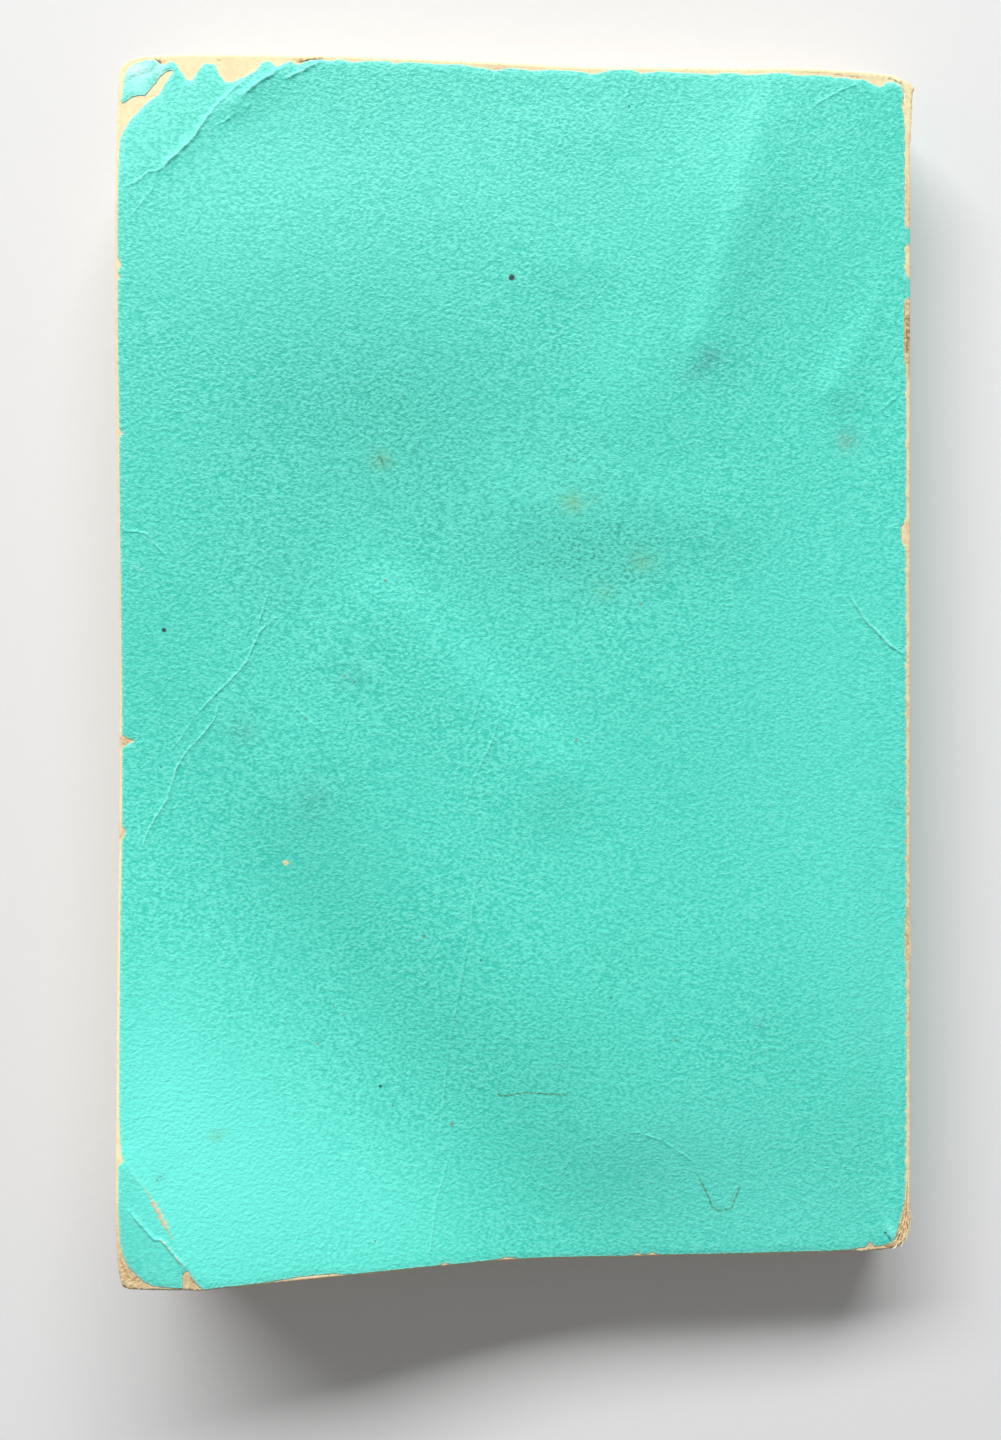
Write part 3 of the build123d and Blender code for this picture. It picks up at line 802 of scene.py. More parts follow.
def facing_material(name, turn):
    """Turquoise paper with an embossed leather grain."""
    recipe = Recipe(name, roughness=0.5, specular=0.42)
    plain = recipe.place()
    lumps = recipe.noise(recipe.place((1.15, 1, 1), turn), 0.64, 3.0, 0.6)
    pebbles = recipe.cells(plain, 0.72)
    kept = recipe.maths("SUBTRACT", 1.0, recipe.attribute("calm", "Fac"))
    grain = recipe.times(recipe.plus(recipe.times(pebbles, -0.10), lumps), kept)
    # Painted highlight on the grain's lumps and painted shade in its hollows, following the bump's height
    colour = recipe.mix(recipe.span(lumps, 0.34, 0.66), FACING_SHADE, FACING_HIGHLIGHT)
    broad = recipe.span(recipe.noise(plain, 26.0, 4.0), 0.35, 0.65, 0.0, 0.35)
    colour = recipe.mix(broad, colour, FACING_COLOUR)
    # Paler in the listed patches: partly faded facing, partly painted highlight
    colour = recipe.mix(recipe.attribute("fade_and_highlight", "Fac"), colour, FADE_AND_HIGHLIGHT)
    hollows = recipe.span(lumps, 0.50, 0.34)
    specks = recipe.times(hollows, recipe.span(recipe.noise(plain, 0.9, 3.0, 0.7), 0.35, 0.6))
    # Dark teal specks in the grain's hollows, heaviest in the listed darker patches
    speck_darkening = recipe.times(recipe.attribute("soil", "Fac"), recipe.plus(recipe.times(specks, 0.9), 0.10))
    colour = recipe.mix(speck_darkening, colour, DARK_SPECK)
    sparse = recipe.span(recipe.noise(plain, 0.45, 3.0), 0.58, 0.40, 0.85, 2.2)
    share = recipe.maths("POWER", recipe.attribute("paint", "Alpha"), sparse)
    colour = recipe.mix(share, colour, recipe.attribute("paint", "Color"))
    return recipe.finish(colour, grain, 0.20)


def core_material(name):
    """Tan board, fibrous where its facing has gone and brown where it is old and dirty."""
    recipe = Recipe(name, roughness=0.85, specular=0.15)
    plain = recipe.place()
    fibres = recipe.noise(recipe.place((1, 3, 1), 25), 0.5, 4.0, 0.65)
    crumbs = recipe.noise(plain, 0.6, 5.0, 0.7)
    broad = recipe.noise(plain, 3.5, 4.0, 0.6)
    soil = recipe.attribute("soil", "Fac")
    colour = recipe.mix(recipe.span(broad, 0.42, 0.7, 0.0, 0.25), CORE_CREAM, CORE_TAN)
    colour = recipe.mix(recipe.span(fibres, 0.5, 0.75, 0.0, 0.35), colour, CORE_TAN)
    colour = recipe.mix(recipe.times(soil, 0.75), colour, CORE_TAN)
    # Where soiled, low crumbs turn brown and high crumbs cream, as the bump goes: the core's own flecks,
    # with painted shade in the low crumbs and painted highlight on the high ones
    dark_crumbs = recipe.span(crumbs, 0.56, 0.40)
    colour = recipe.mix(recipe.times(soil, dark_crumbs), colour, CORE_BROWN)
    bright_crumbs = recipe.span(crumbs, 0.58, 0.68, 0.0, 0.8)
    colour = recipe.mix(recipe.times(soil, bright_crumbs), colour, CORE_CREAM)
    colour = recipe.mix(recipe.attribute("paint", "Alpha"), colour, recipe.attribute("paint", "Color"))
    height = recipe.plus(fibres, recipe.times(crumbs, recipe.plus(recipe.times(soil, 3.0), 0.4)))
    return recipe.finish(colour, height, 0.08)


PAGE_STRIPES = 420.0        # how fine the stripes of the leaves' edges are


def pages_material(name):
    """Old paper: cream leaves that have yellowed towards their edges."""
    recipe = Recipe(name, roughness=0.9, specular=0.1)
    plain = recipe.place()
    edge = recipe.attribute("edge", "Fac")
    leaf = recipe.attribute("leaf", "Fac")
    x = recipe.node("SeparateXYZ", "X", {"Vector": plain})
    y = recipe.node("SeparateXYZ", "Y", {"Vector": plain})
    along = recipe.times(recipe.plus(x, y), 0.05)
    stack = recipe.node("CombineXYZ", "Vector", {"X": along, "Y": recipe.times(leaf, PAGE_STRIPES)})
    stripes = recipe.noise(stack, 1.0, 3.0, 0.7)
    clouds = recipe.noise(plain, 14.0, 5.0, 0.6)
    aged = recipe.times(edge, recipe.span(clouds, 0.2, 0.7, 0.7, 1.0))
    colour = recipe.mix(aged, PAGE_CREAM, PAGE_YELLOW)
    gaps = recipe.times(recipe.span(stripes, 0.45, 0.75, 0.0, 0.5), edge)
    colour = recipe.mix(gaps, colour, PAGE_BROWN)
    foxing = recipe.span(recipe.noise(plain, 5.0, 6.0, 0.75), 0.68, 0.8, 0.0, 0.35)
    colour = recipe.mix(foxing, colour, PAGE_BROWN)
    return recipe.finish(colour, recipe.noise(plain, 0.5, 3.0), 0.02)


def glue_material(name):
    recipe = Recipe(name, roughness=0.45, specular=0.4)
    lumps = recipe.noise(recipe.place((1, 3, 1)), 1.2, 4.0, 0.6)
    colour = recipe.mix(recipe.span(lumps, 0.35, 0.7), GLUE_PALE, GLUE_BROWN)
    return recipe.finish(colour, lumps, 0.15)


facing_paper = facing_material("turquoise_facing", 15)
spine_paper = facing_material("turquoise_facing_spine", 0)
core_paper = core_material("tan_core")
page_paper = pages_material("old_paper")
dry_glue = glue_material("dry_glue")


# Shape and paint of the back cover

line_sway = 0.07                # how far a listed line wanders to its sides
line_sway_length = 2.4
wave_taper = 28.0               # how far in from the cover's edge a wave reaches its full height
wave_taper_share = 1.5          # the same for a narrow wave, as a share of its half-width
calm_at_spine = 2.0             # beside the fold the cover has no waves; then they rise over the next run
wave_run_at_spine = 12.0
core_crease_width = 0.33        # the narrower creases are in the facing alone
deepest_furrow = -0.08
rim_thinning = 0.8              # the share of the facing's thickness that is worn off at its rim
rim_wear_reach = 1.0
rim_paint_reach = 0.5
rim_paint = 0.5
most_calm = 0.7
most_fade_and_highlight = 0.95
crease_under_facing = 0.9       # the share of a crease's height that its underside and the core have
crease_in_core = 0.85
facing_gap = 0.002              # between the facing and the core
core_sunk = 0.01                # how much lower the core's top lies under the facing, and where it is bare
bare_core_sunk = 0.02
core_roughness = 0.05
gap_at_fold = 0.02
fine_corner = 17.0              # the core has a finer net this far about each corner
# Rows of mesh points beside a line, as shares of its half-width
facing_crease_rows = (-2.4, -1.5, -0.95, -0.5, 0, 0.5, 0.95, 1.5, 2.4)
core_crease_rows = (-2.4, -1.5, -0.9, -0.45, 0, 0.45, 0.9, 1.5, 2.4)
stroke_rows = (-1.9, -1.25, -0.7, 0, 0.7, 1.25, 1.9)
# Rings of mesh points about a spot: (share of its radius, number of points)
spot_rings = ((0.5, 6), (0.85, 10), (1.05, 12), (1.35, 12), (2.2, 8))


def smooth_line(line_px, step=0.45):
    """A listed line, brought onto the cover, rounded a little and made slightly uneven."""
    line = spread(on_cover(line_px), step)
    for _ in range(2):
        line[1:-1] = (line[:-2] + 2 * line[1:-1] + line[2:]) / 4
    if len(line) > 4:
        uneven = line_sway * wavy(np.arange(len(line)) * step, line_sway_length, own_seed(line_px, 31, 17))
        line = line + normals_of(line) * (uneven * np.sin(np.linspace(0, math.pi, len(line))))[:, None]
    return line


creases = [(smooth_line(line), height, width, pale) for line, height, width, pale in creases_px]
strokes = [(smooth_line(line, 0.3), *rest) for line, *rest in strokes_px]
core_strokes = [(smooth_line(line, 0.3), *rest) for line, *rest in core_strokes_px]


def broad_relief(points):
    """Waves of the whole cover, and the tip of its tail dog-ear."""
    relief = np.zeros(len(points))
    from_edge = np.min([points[:, 0] + half_width, half_height - np.abs(points[:, 1])], 0)
    for start, end, right_px, left_px, height in waves_px:
        a, b = on_cover([start, end])
        length = np.hypot(*(b - a))
        ahead = (b - a) / length
        along = (points - a) @ ahead
        across = (points - a) @ np.array([-ahead[1], ahead[0]])
        half = np.where(across > 0, right_px, left_px) * PX
        beyond = np.maximum(np.maximum(-along, along - length), 0) / ((right_px + left_px) * PX / 2)
        taper = min(wave_taper, wave_taper_share * right_px * PX)
        to_edge = WAVE_AT_EDGE + (1 - WAVE_AT_EDGE) * ramp(from_edge / taper)
        relief += height * to_edge * np.exp(-(across / half) ** 2 - beyond ** 2)
    tip = past_line(points[:, 0], points[:, 1], -1, ear_tip_reach, ear_tip_angle)
    spine_side = ramp((fold_x - calm_at_spine - points[:, 0]) / wave_run_at_spine)
    return relief * spine_side - ear_tip_slope * soft_fold(tip, ear_tip_softness)


def crease_relief(points, least_width):
    """Ridges and furrows, strongest midway along each."""
    relief = np.zeros(len(points))
    for line, height, width, _ in creases:
        if width < least_width:
            continue
        gap, share = nearest_on(line, points, 3 * width)
        uneven = wavy(share * length_of(line), 3.6, own_seed(line, 37, 11) + 1)
        strength = tapered(share, 6) ** 0.5 * (0.72 + 0.28 * uneven)
        relief += height * strength * bell(gap, width)
    return relief


def paint_over(paint, share, colour):
    """Lays a colour over what is painted already."""
    share = np.clip(share, 0, 1)
    under = paint[:, 3] * (1 - share)
    total = np.maximum(under + share, 1e-6)
    paint[:, :3] = (paint[:, :3] * under[:, None] + np.array(colour) * share[:, None]) / total[:, None]
    paint[:, 3] = under + share


def draw_strokes(paint, points, lines):
    for line, width, colour, strength in lines:
        gap, share = nearest_on(line, points, 3 * width)
        uneven = width * (0.85 + 0.35 * wavy(share * length_of(line), 1.3, own_seed(line, 29, 0)))
        edge = ramp((1.35 * uneven - gap) / (0.7 * width))
        paint_over(paint, strength * tapered(share, 12, 0.25) * edge, colour)


def patch(points, place, half_px):
    """A soft patch about a place in the photograph, with half-widths in pixels."""
    offset = (points - on_cover(place)[0]) / (np.array(half_px) * PX)
    return np.exp(-(offset ** 2).sum(1))


def patches(points, places_px):
    """The sum of soft patches, each given as (place, half-widths in pixels, amount)."""
    return sum(amount * patch(points, place, half_px) for place, half_px, amount in places_px)


def cover_paint(points):
    """Colour and strength of stains and marks at each point of the facing."""
    paint = unpainted(points)
    for place, half_px, colour, strength in smudges_px:
        paint_over(paint, strength * patch(points, place, half_px), colour)
    for line, _, width, pale in creases:
        gap, share = nearest_on(line, points, 3 * width)
        paint_over(paint, pale * tapered(share, 8) * bell(gap, 0.55 * width), PALE)
    draw_strokes(paint, points, strokes)
    for place, radius, colour, strength in spots_px:
        gap = np.hypot(*(points - on_cover(place)[0]).T)
        paint_over(paint, strength * ramp((1.25 * radius - gap) / (0.5 * radius)), colour)
    return paint


def rows_beside(line, width, shares):
    """Rows of points beside a line, each at a share of its half-width."""
    across = normals_of(line)
    return [line + across * (width * share) for share in shares]


def detail_points():
    """Extra points where the facing has creases, marks and spots."""
    rows = []
    for line, _, width, _ in creases:
        rows += rows_beside(line, width, facing_crease_rows)
    for line, width, _, _ in strokes:
        rows += rows_beside(line, width, stroke_rows)
    for place, radius, _, _ in spots_px:
        centre = on_cover(place)[0]
        rows.append(centre[None])
        for share, count in spot_rings:
            turn = np.arange(count) * 2 * math.pi / count
            rows.append(centre + radius * share * np.stack([np.cos(turn), np.sin(turn)], 1))
    return np.vstack(rows)


def torn(outline, step, wobble, seed):
    """An outline at an even spacing with a slightly ragged edge."""
    line = spread(outline, step, closed=True)
    ragged = wobble * wavy(np.arange(len(line)) * step, 1.7, seed)
    return line + normals_of(line, True) * ragged[:, None]


def lifted(flat, base, relief):
    return at_height(flat, base + cover_rise(flat[:, 0], flat[:, 1]) + relief)


def make_back_facing():
    outline = torn(on_cover(facing_outline_px), 0.45, 0.045, 3)
    low, high = outline.min(0), outline.max(0)
    extra = np.vstack([detail_points(), *bands(outline, (0.16, 0.34, 0.7, 1.2)), grid(low, high, 1.5)])
    flat, triangles = filled(outline, extra, 0.12)
    edge_gap, _ = nearest_on(looped(outline), flat, 1.2)
    worn_rim = rim_thinning * facing_thickness * ramp(1 - edge_gap / rim_wear_reach)
    broad = broad_relief(flat)
    fine = crease_relief(flat, 0.0)
    upper = lifted(flat, cover_top, broad + np.maximum(fine, deepest_furrow) - worn_rim)
    lower = lifted(flat, back_board_top, broad + np.maximum(fine, 0) * crease_under_facing + facing_gap)
    numbers = {"soil": patches(flat, darker_grain_px), "calm": np.clip(patches(flat, calm_px), 0, most_calm),
               "fade_and_highlight": np.clip(patches(flat, fade_and_highlight_px), 0, most_fade_and_highlight)}
    paint = cover_paint(flat)
    # A paler rim along the torn facing: the pale torn paper, and painted highlight over the shade of its
    # thinned edge
    paint_over(paint, rim_paint * ramp(1 - edge_gap / rim_paint_reach), RIM)
    piece = sheet("back_facing", flat, triangles, upper, lower, facing_paper,
                  paint, numbers, under=RIM)
    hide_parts("back_cover_facing")
    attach(piece, "back_cover")


# Where the bare core is old and brown: (place, half-widths in pixels, amount)
core_soil_px = [
    ((125, 1280), (26, 30), 0.6), ((190, 1280), (14, 16), 0.35), ((900, 1236), (24, 26), 0.85),
    ((907, 332), (6, 34), 0.95), ((907, 800), (6, 420), 0.28), ((907, 940), (6, 30), 0.3),
    ((908, 205), (8, 30), 0.35), ((880, 75), (24, 3), 0.12), ((159, 61), (4, 3), 0.8),
    ((311, 60), (13, 2.2), 0.8), ((500, 67), (16, 4), 0.25), ((128, 741), (10, 5), 0.7),
    ((119, 832), (8, 8), 0.6),
]
core_corners_px = [(116, 55), (909, 73), (909, 1250), (116, 1292)]


def make_back_board():
    outline = torn(on_cover(core_outline_px), 0.6, 0.05, 8)
    outline[:, 0] = np.minimum(outline[:, 0], fold_x - gap_at_fold)
    low, high = outline.min(0), outline.max(0)
    extra = []
    for line, width, *_ in core_strokes:
        extra += rows_beside(line, width, stroke_rows)
    for line, _, width, _ in creases:
        if width > core_crease_width:
            extra += rows_beside(line, width, core_crease_rows)
    extra += bands(outline, (0.5, 1.1))
    for corner in on_cover(core_corners_px):
        extra.append(grid(corner - fine_corner, corner + fine_corner, 0.65))
    flat, triangles = filled(outline, np.vstack(extra + [grid(low, high, 2.4)]), 0.14)
    hidden = inside(spread(on_cover(facing_outline_px), 2.0, closed=True), flat)
    x, y = flat.T
    rough = core_roughness * np.sin(x * 5.1 + 2 * np.sin(y * 3.3)) * np.sin(y * 4.3 + x)
    soil = np.clip(patches(flat, core_soil_px), 0, 1)
    rough = np.where(hidden, -core_sunk, rough * (0.3 + 1.4 * soil) - bare_core_sunk)
    paint = unpainted(flat)
    draw_strokes(paint, flat, core_strokes)
    raised = np.maximum(crease_relief(flat, core_crease_width), 0)
    broad = broad_relief(flat) + crease_in_core * raised
    upper = lifted(flat, back_board_top, broad + rough)
    lower = lifted(flat, back_board_base, broad)
    piece = sheet("back_board", flat, triangles, upper, lower, core_paper,
                  paint, {"soil": soil})
    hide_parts("back_cover_board")
    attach(piece, "back_cover")


# Frayed fibres at the back cover's spine corners

# Loose fibres that stand off the edge: (root, bend, tip, width in mm)
loose_fibres_px = [
    ((907.6, 96), (911.6, 102), (912.6, 111), 0.3),
    ((907.6, 107), (911, 113), (912, 123), 0.3),
    ((908, 118), (910.6, 128), (911.4, 141), 0.3),
    ((907.4, 1203), (910.4, 1213), (913.9, 1224.6), 0.26),
    ((907, 1209), (910.2, 1219), (911.8, 1226), 0.24),
    ((906.6, 1216), (910, 1227), (910.8, 1236), 0.3),
    ((905, 1224), (908.8, 1234), (906.6, 1241.5), 0.34),
    ((902, 1232), (905.4, 1240), (901.4, 1247), 0.3),
    ((897, 1240), (899.5, 1245.4), (893, 1248.8), 0.26),
    ((907.6, 916), (909.6, 922), (911.6, 934), 0.24),
    ((907.6, 926), (910.4, 940), (911.4, 956), 0.28),
    ((907.6, 944), (909.2, 952), (909.6, 962), 0.24),
    ((906, 176), (909.6, 184), (910.2, 200), 0.24),
]
# The frayed core that flares out at the head corner
flare_px = [(898, 77.4), (903, 79.4), (908, 81.8), (911.4, 84), (914, 86.8), (914.4, 89.6), (913, 92),
            (912.4, 100), (911.8, 112), (911.2, 126), (910.6, 140), (907.6, 150), (905.4, 128), (905, 104),
            (904.6, 92), (902, 84)]
# The bare strip at the tail corner lies between these two lines
bare_inner_px = [(905.5, 1180), (903.4, 1208), (900.4, 1222), (897.4, 1233), (894.6, 1240), (884, 1245.4)]
bare_outer_px = [(909.4, 1180), (910, 1208), (910, 1222), (908.8, 1233), (904.4, 1243), (884, 1249.4)]
lying_fibres = 30       # strands that lie on that strip
loose_fibre_lift = 0.12
fibre_foot = 0.03       # a strand's lower edges lie this deep in the core
flare_rise = 0.08
flare_sunk = 0.02
flare_depth = 0.16
flare_rim = 0.5


def fibre(line, width, lift):
    """A thin tapered strand, three-sided, along plan points; lift is its height over the board."""
    count = len(line)
    share = np.linspace(0, 1, count)
    lift = min(lift, 0.6 * width)
    half = width / 2 * np.clip(1.1 * np.sin(math.pi * (0.12 + 0.86 * share)), 0.08, 1)
    across = normals_of(line)
    base = back_board_top + cover_rise(line[:, 0], line[:, 1]) + broad_relief(line)
    rows = [at_height(line + across * half[:, None], base - fibre_foot),
            at_height(line - across * half[:, None], base - fibre_foot),
            at_height(line, base + lift)]
    points = np.stack(rows, 1).reshape(-1, 3)
    ends = [[0, 1, 2], [3 * count - 1, 3 * count - 2, 3 * count - 3]]
    return points, ends + ring_faces(count, 3, True)


def hinge_over_fold(piece):
    """Bakes the piece's place into its mesh points."""
    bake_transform(piece)


def make_corner_flare():
    outline = torn(on_cover(flare_px), 0.25, 0.05, 41)
    flat, triangles = filled(outline, grid(outline.min(0), outline.max(0), 0.3), 0.12)
    gap, _ = nearest_on(looped(outline), flat, 1.0)
    uneven = 0.02 * np.sin(flat[:, 0] * 7.3 + 2 * np.sin(flat[:, 1] * 2.1))
    upper = lifted(flat, back_board_top, flare_rise * ramp(gap / flare_rim) - flare_sunk + uneven)
    lower = lifted(flat, back_board_top, -flare_depth)
    paint = unpainted(flat)
    draw_strokes(paint, flat, core_strokes)
    piece = sheet("corner_flare", flat, triangles, upper, lower, core_paper, paint,
                  {"soil": 0.06 + 0.2 * ramp(1 - gap / 0.25)}, under=CORE_CREAM)
    hinge_over_fold(piece)


def make_corner_fibres():
    draw = np.random.default_rng(5)
    lines = []
    t = np.linspace(0, 1, 9)[:, None]
    for root, bend, tip, width in loose_fibres_px:
        a, b, c = on_cover([root, bend, tip])
        lines.append((a * (1 - t) ** 2 + 2 * b * t * (1 - t) + c * t ** 2, width, loose_fibre_lift))
    inner, outer = on_cover(bare_inner_px), on_cover(bare_outer_px)
    knots = np.linspace(0, 1, len(inner))
    for _ in range(lying_fibres):
        start = draw.uniform(0, 0.7)
        along = np.linspace(start, min(1.0, start + draw.uniform(0.18, 0.45)), 12)
        share = draw.uniform(0.05, 0.95) + 0.06 * wavy(along * 8, 2.0, int(draw.integers(1000)))
        near = np.stack([np.interp(along, knots, inner[:, i]) for i in (0, 1)], 1)
        far = np.stack([np.interp(along, knots, outer[:, i]) for i in (0, 1)], 1)
        line = near + (far - near) * share[:, None]
        lines.append((line, draw.uniform(0.1, 0.22), draw.uniform(0.04, 0.14)))
    points, faces, paint, total = [], [], [], 0
    for i, (line, width, lift) in enumerate(lines):
        own_points, own_faces = fibre(line, width, lift)
        points.append(own_points)
        faces += [[i + total for i in face] for face in own_faces]
        tint = CORE_CREAM
        if i >= len(loose_fibres_px):
            tint = (CORE_CREAM, CORE_TAN, CORE_BROWN)[draw.choice(3, p=(0.45, 0.4, 0.15))]
        paint.append(np.tile((*tint, TINT), (len(own_points), 1)))
        total += len(own_points)
    piece = make_piece("corner_fibres", np.vstack(points), faces, [False] * len(faces), core_paper,
                       {"soil": np.full(total, 0.5)}, np.vstack(paint))
    hinge_over_fold(piece)


# Folds between the covers and the spine

fold_flap = 0.9
fold_skin = 0.1
fold_radius = board_radius + 0.015
fold_end_thinning = 0.13
fold_roughness = 0.035
fold_head_end = half_height - 2.6
fold_tail_end = 6.4 - half_height
fold_end_taper = 2.4
fold_ys = np.arange(fold_tail_end, fold_head_end + 0.01, 0.8)
# Rows of points along the cover up to the bend, round the bend, and down the spine
cover_rows = (-fold_flap, -0.5, -0.2)
bend_rows = (90, 75, 60, 45, 30, 15, 0)
spine_rows = (-0.3, -0.6, -fold_flap)


def fold_line(radius, along_cover, down_spine):
    bend = [(radius * math.cos(math.radians(a)), radius * math.sin(math.radians(a))) for a in bend_rows]
    return [(x, radius) for x in along_cover] + bend + [(radius, z) for z in down_spine]


def fold_section(radius):
    """Cross-section of a fold's skin about its axis: the outside, then the inside on the way back."""
    outer = fold_line(radius, cover_rows, spine_rows)
    inner = fold_line(radius - fold_skin, cover_rows[::2], spine_rows[::2])
    return outer + inner[::-1]


def make_fold(name, fold_z, side, paint, soil):
    """side is 1 for the fold at the back cover, above, and -1 for the one at the front cover."""
    from_end = np.minimum(fold_head_end - fold_ys, fold_ys - fold_tail_end)
    taper = np.clip(from_end / fold_end_taper, 0, 1) ** 0.5
    rough = fold_roughness * np.maximum(0.0, wavy(fold_ys, 3.1, 21 + side))
    radii = fold_radius - fold_end_thinning * (1 - taper) + rough
    sections = [fold_section(radius) for radius in radii]
    points = [(fold_x + dx, y, fold_z + side * dz) for y, section in zip(fold_ys, sections)
              for dx, dz in section]
    around = len(sections[0])
    faces = ring_faces(len(fold_ys), around, side < 0)
    smooth = [True] * len(faces) + [False] * 2
    last = len(points) - around
    faces.append(list(range(around))[::-side])
    faces.append(list(range(last, last + around))[::side])
    piece = make_piece(name, points, faces, smooth, core_paper,
                       {"soil": np.repeat(soil, around)}, np.repeat(paint, around, 0))
    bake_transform(piece)


# Stretches of the back fold where turquoise is left: (upper end, lower end)
kept_facing_px = [((907, 229), (907, 245)), ((907, 276), (907, 299))]


def back_fold_paint():
    paint = np.tile((*CORE_BROWN, 0.0), (len(fold_ys), 1))
    for ends in kept_facing_px:
        low, high = sorted(on_cover(ends)[:, 1])
        paint[(low < fold_ys) & (fold_ys < high)] = (*FACING_COLOUR, 0.95)
    return paint


def back_fold_soil():
    at_edge = patches(np.column_stack([np.full(len(fold_ys), fold_x - 0.2), fold_ys]), core_soil_px)
    return np.clip(at_edge + 0.05 + 0.14 * wavy(fold_ys, 5.0, 31), 0, 1)


# Front cover and spine

points_round_corner = 6
rubbed_least = 0.35         # how far in from its rim the facing is rubbed, at the least, and how much more
rubbed_more = 0.55
rubbed_wavelength = 14.0


def rounded_plan(left, right, end, radii, step):
    """A rectangle with rounded corners, clockwise; radii go the same way from the upper left corner."""
    corners = [(left, end, 1, -1, radii[0], 180), (right, end, -1, -1, radii[1], 90),
               (right, -end, -1, 1, radii[2], 0), (left, -end, 1, 1, radii[3], -90)]
    points = []
    for x, y, in_x, in_y, radius, start in corners:
        for turn in np.linspace(start, start - 90, points_round_corner):
            angle = math.radians(turn)
            points.append((x + radius * (in_x + math.cos(angle)), y + radius * (in_y + math.sin(angle))))
    return spread(points, step, closed=True)


def edge_wear(flat, outline, seed):
    """Tan paint where an outline's rim is rubbed through."""
    rim = looped(outline)
    gap, share = nearest_on(rim, flat, 3.0)
    uneven = wavy(share * length_of(rim), rubbed_wavelength, seed)
    depth = rubbed_least + rubbed_more * np.maximum(0, uneven) ** 2
    paint = unpainted(flat)
    paint_over(paint, ramp((depth - gap) / 0.25) * 0.9, CORE_TAN)
    return paint


# Worn corners, in the order of rounded_plan
front_cover_radii = (3.4, 3.2, 3.0, 2.0)
spine_radii = (5.5, 2.6, 1.6, 1.6)
facing_inset = 0.6          # how far the facing is worn back from the edges of the front cover and spine
crack_heights = (4.4, 8.3, 11.2)
crack_sway = (0, 0.4, -0.3)         # how the tail end, the middle and the head end lie about that height
crack_tail_gap = 6.0
crack_head_gap = 9.0
crack_width = 0.25
crack_rows = (-2, -1, 0, 1, 2)


def make_front_facing():
    plan = rounded_plan(-half_width + facing_inset, fold_x - 0.45, half_height - facing_inset,
                        front_cover_radii, 0.8)
    outline = torn(plan, 0.8, 0.12, 15)
    extra = bands(outline, (0.3, 0.7, 1.2)) + [grid(outline.min(0), outline.max(0), 2.4)]
    flat, triangles = filled(outline, np.vstack(extra), 0.2)
    wear = edge_wear(flat, outline, 5)
    soil = 0.25 + 0.25 * np.sin(flat[:, 0] / 23) * np.sin(flat[:, 1] / 31 + 1)
    piece = sheet("front_facing", flat, triangles, at_height(flat, facing_thickness), at_height(flat, 0),
                  facing_paper, wear, {"soil": soil}, under=None)
    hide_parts("front_cover_facing")
    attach(piece, "front_cover")


def make_front_board():
    outline = torn(rounded_plan(-half_width, fold_x, half_height, front_cover_radii, 0.8), 0.8, 0.06, 17)
    outline = np.clip(outline, (-half_width, -half_height), (fold_x, half_height))
    flat, triangles = filled(outline, grid(outline.min(0), outline.max(0), 3.0), 0.3)
    upper = at_height(flat, facing_thickness + board_thickness)
    lower = at_height(flat, facing_thickness)
    gap, _ = nearest_on(looped(outline), flat, 6.0)
    piece = sheet("front_board", flat, triangles, upper, lower, core_paper,
                  unpainted(flat), {"soil": 0.1 + 0.45 * bell(gap, 1.5)})
    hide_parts("front_cover_board")
    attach(piece, "front_cover")


def spine_outline(low, high, reach, step, wobble, seed):
    """The worn outline of a layer of the spine: height along the book, height above the table."""
    middle, half = (low[2] + high[2]) / 2, (high[2] - low[2]) / 2
    return torn(rounded_plan(-reach, reach, half, spine_radii, step), step, wobble, seed) + (0, middle)


def upright(flat, x):
    """Flat points (height along the book, height above the table) stood up at x."""
    return np.column_stack([np.broadcast_to(x, len(flat)), flat[:, 0], flat[:, 1]])


def make_spine_facing():
    outline = spine_outline(spine_low, spine_high, half_height - facing_inset, 0.5, 0.1, 23)
    low, high = outline.min(0), outline.max(0)
    extra, cracks = [], []
    ys = (low[0] + crack_tail_gap, 0, high[0] - crack_head_gap)
    for height in crack_heights:
        crack = spread([(y, height + sway) for y, sway in zip(ys, crack_sway)], 1.0)
        cracks.append(crack)
        extra += rows_beside(crack, crack_width, crack_rows)
    extra += bands(outline, (0.25, 0.6))
    flat, triangles = filled(outline, np.vstack(extra + [grid(low, high, 1.6)]), 0.15)
    ridge = np.zeros(len(flat))
    wear = edge_wear(flat, outline, 9)
    for crack in cracks:
        gap, share = nearest_on(crack, flat, 1.5)
        ridge += 0.05 * tapered(share, 6) * bell(gap, crack_width)
        paint_over(wear, 0.45 * tapered(share, 6) * bell(gap, 0.16), PALE)
    outer = upright(flat, spine_high[0] - 0.04 + ridge * 0.8)
    inner = upright(flat, spine_low[0])
    piece = sheet("spine_facing_paper", flat, triangles, outer, inner, spine_paper,
                  wear, {"soil": 0.3 + 0.2 * np.sin(flat[:, 0] / 9)})
    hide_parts("spine_facing")
    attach(piece, "book_block")


def make_spine_strip(name, low, high, inset, material, node):
    """A layer of the spine, stood up between the two covers, with worn ends."""
    outline = spine_outline(low, high, high[1] - inset, 0.7, 0.04, 27)
    outline[:, 1] = np.clip(outline[:, 1], low[2], high[2])
    flat, triangles = filled(outline, grid(outline.min(0), outline.max(0), 2.0), 0.2)
    soil = 0.3 + 0.3 * bell(half_height - np.abs(flat[:, 0]), 3)
    piece = sheet(name, flat, triangles, upright(flat, high[0]), upright(flat, low[0]), material,
                  unpainted(flat), {"soil": soil})
    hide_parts(node)
    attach(piece, "book_block")


# Pages

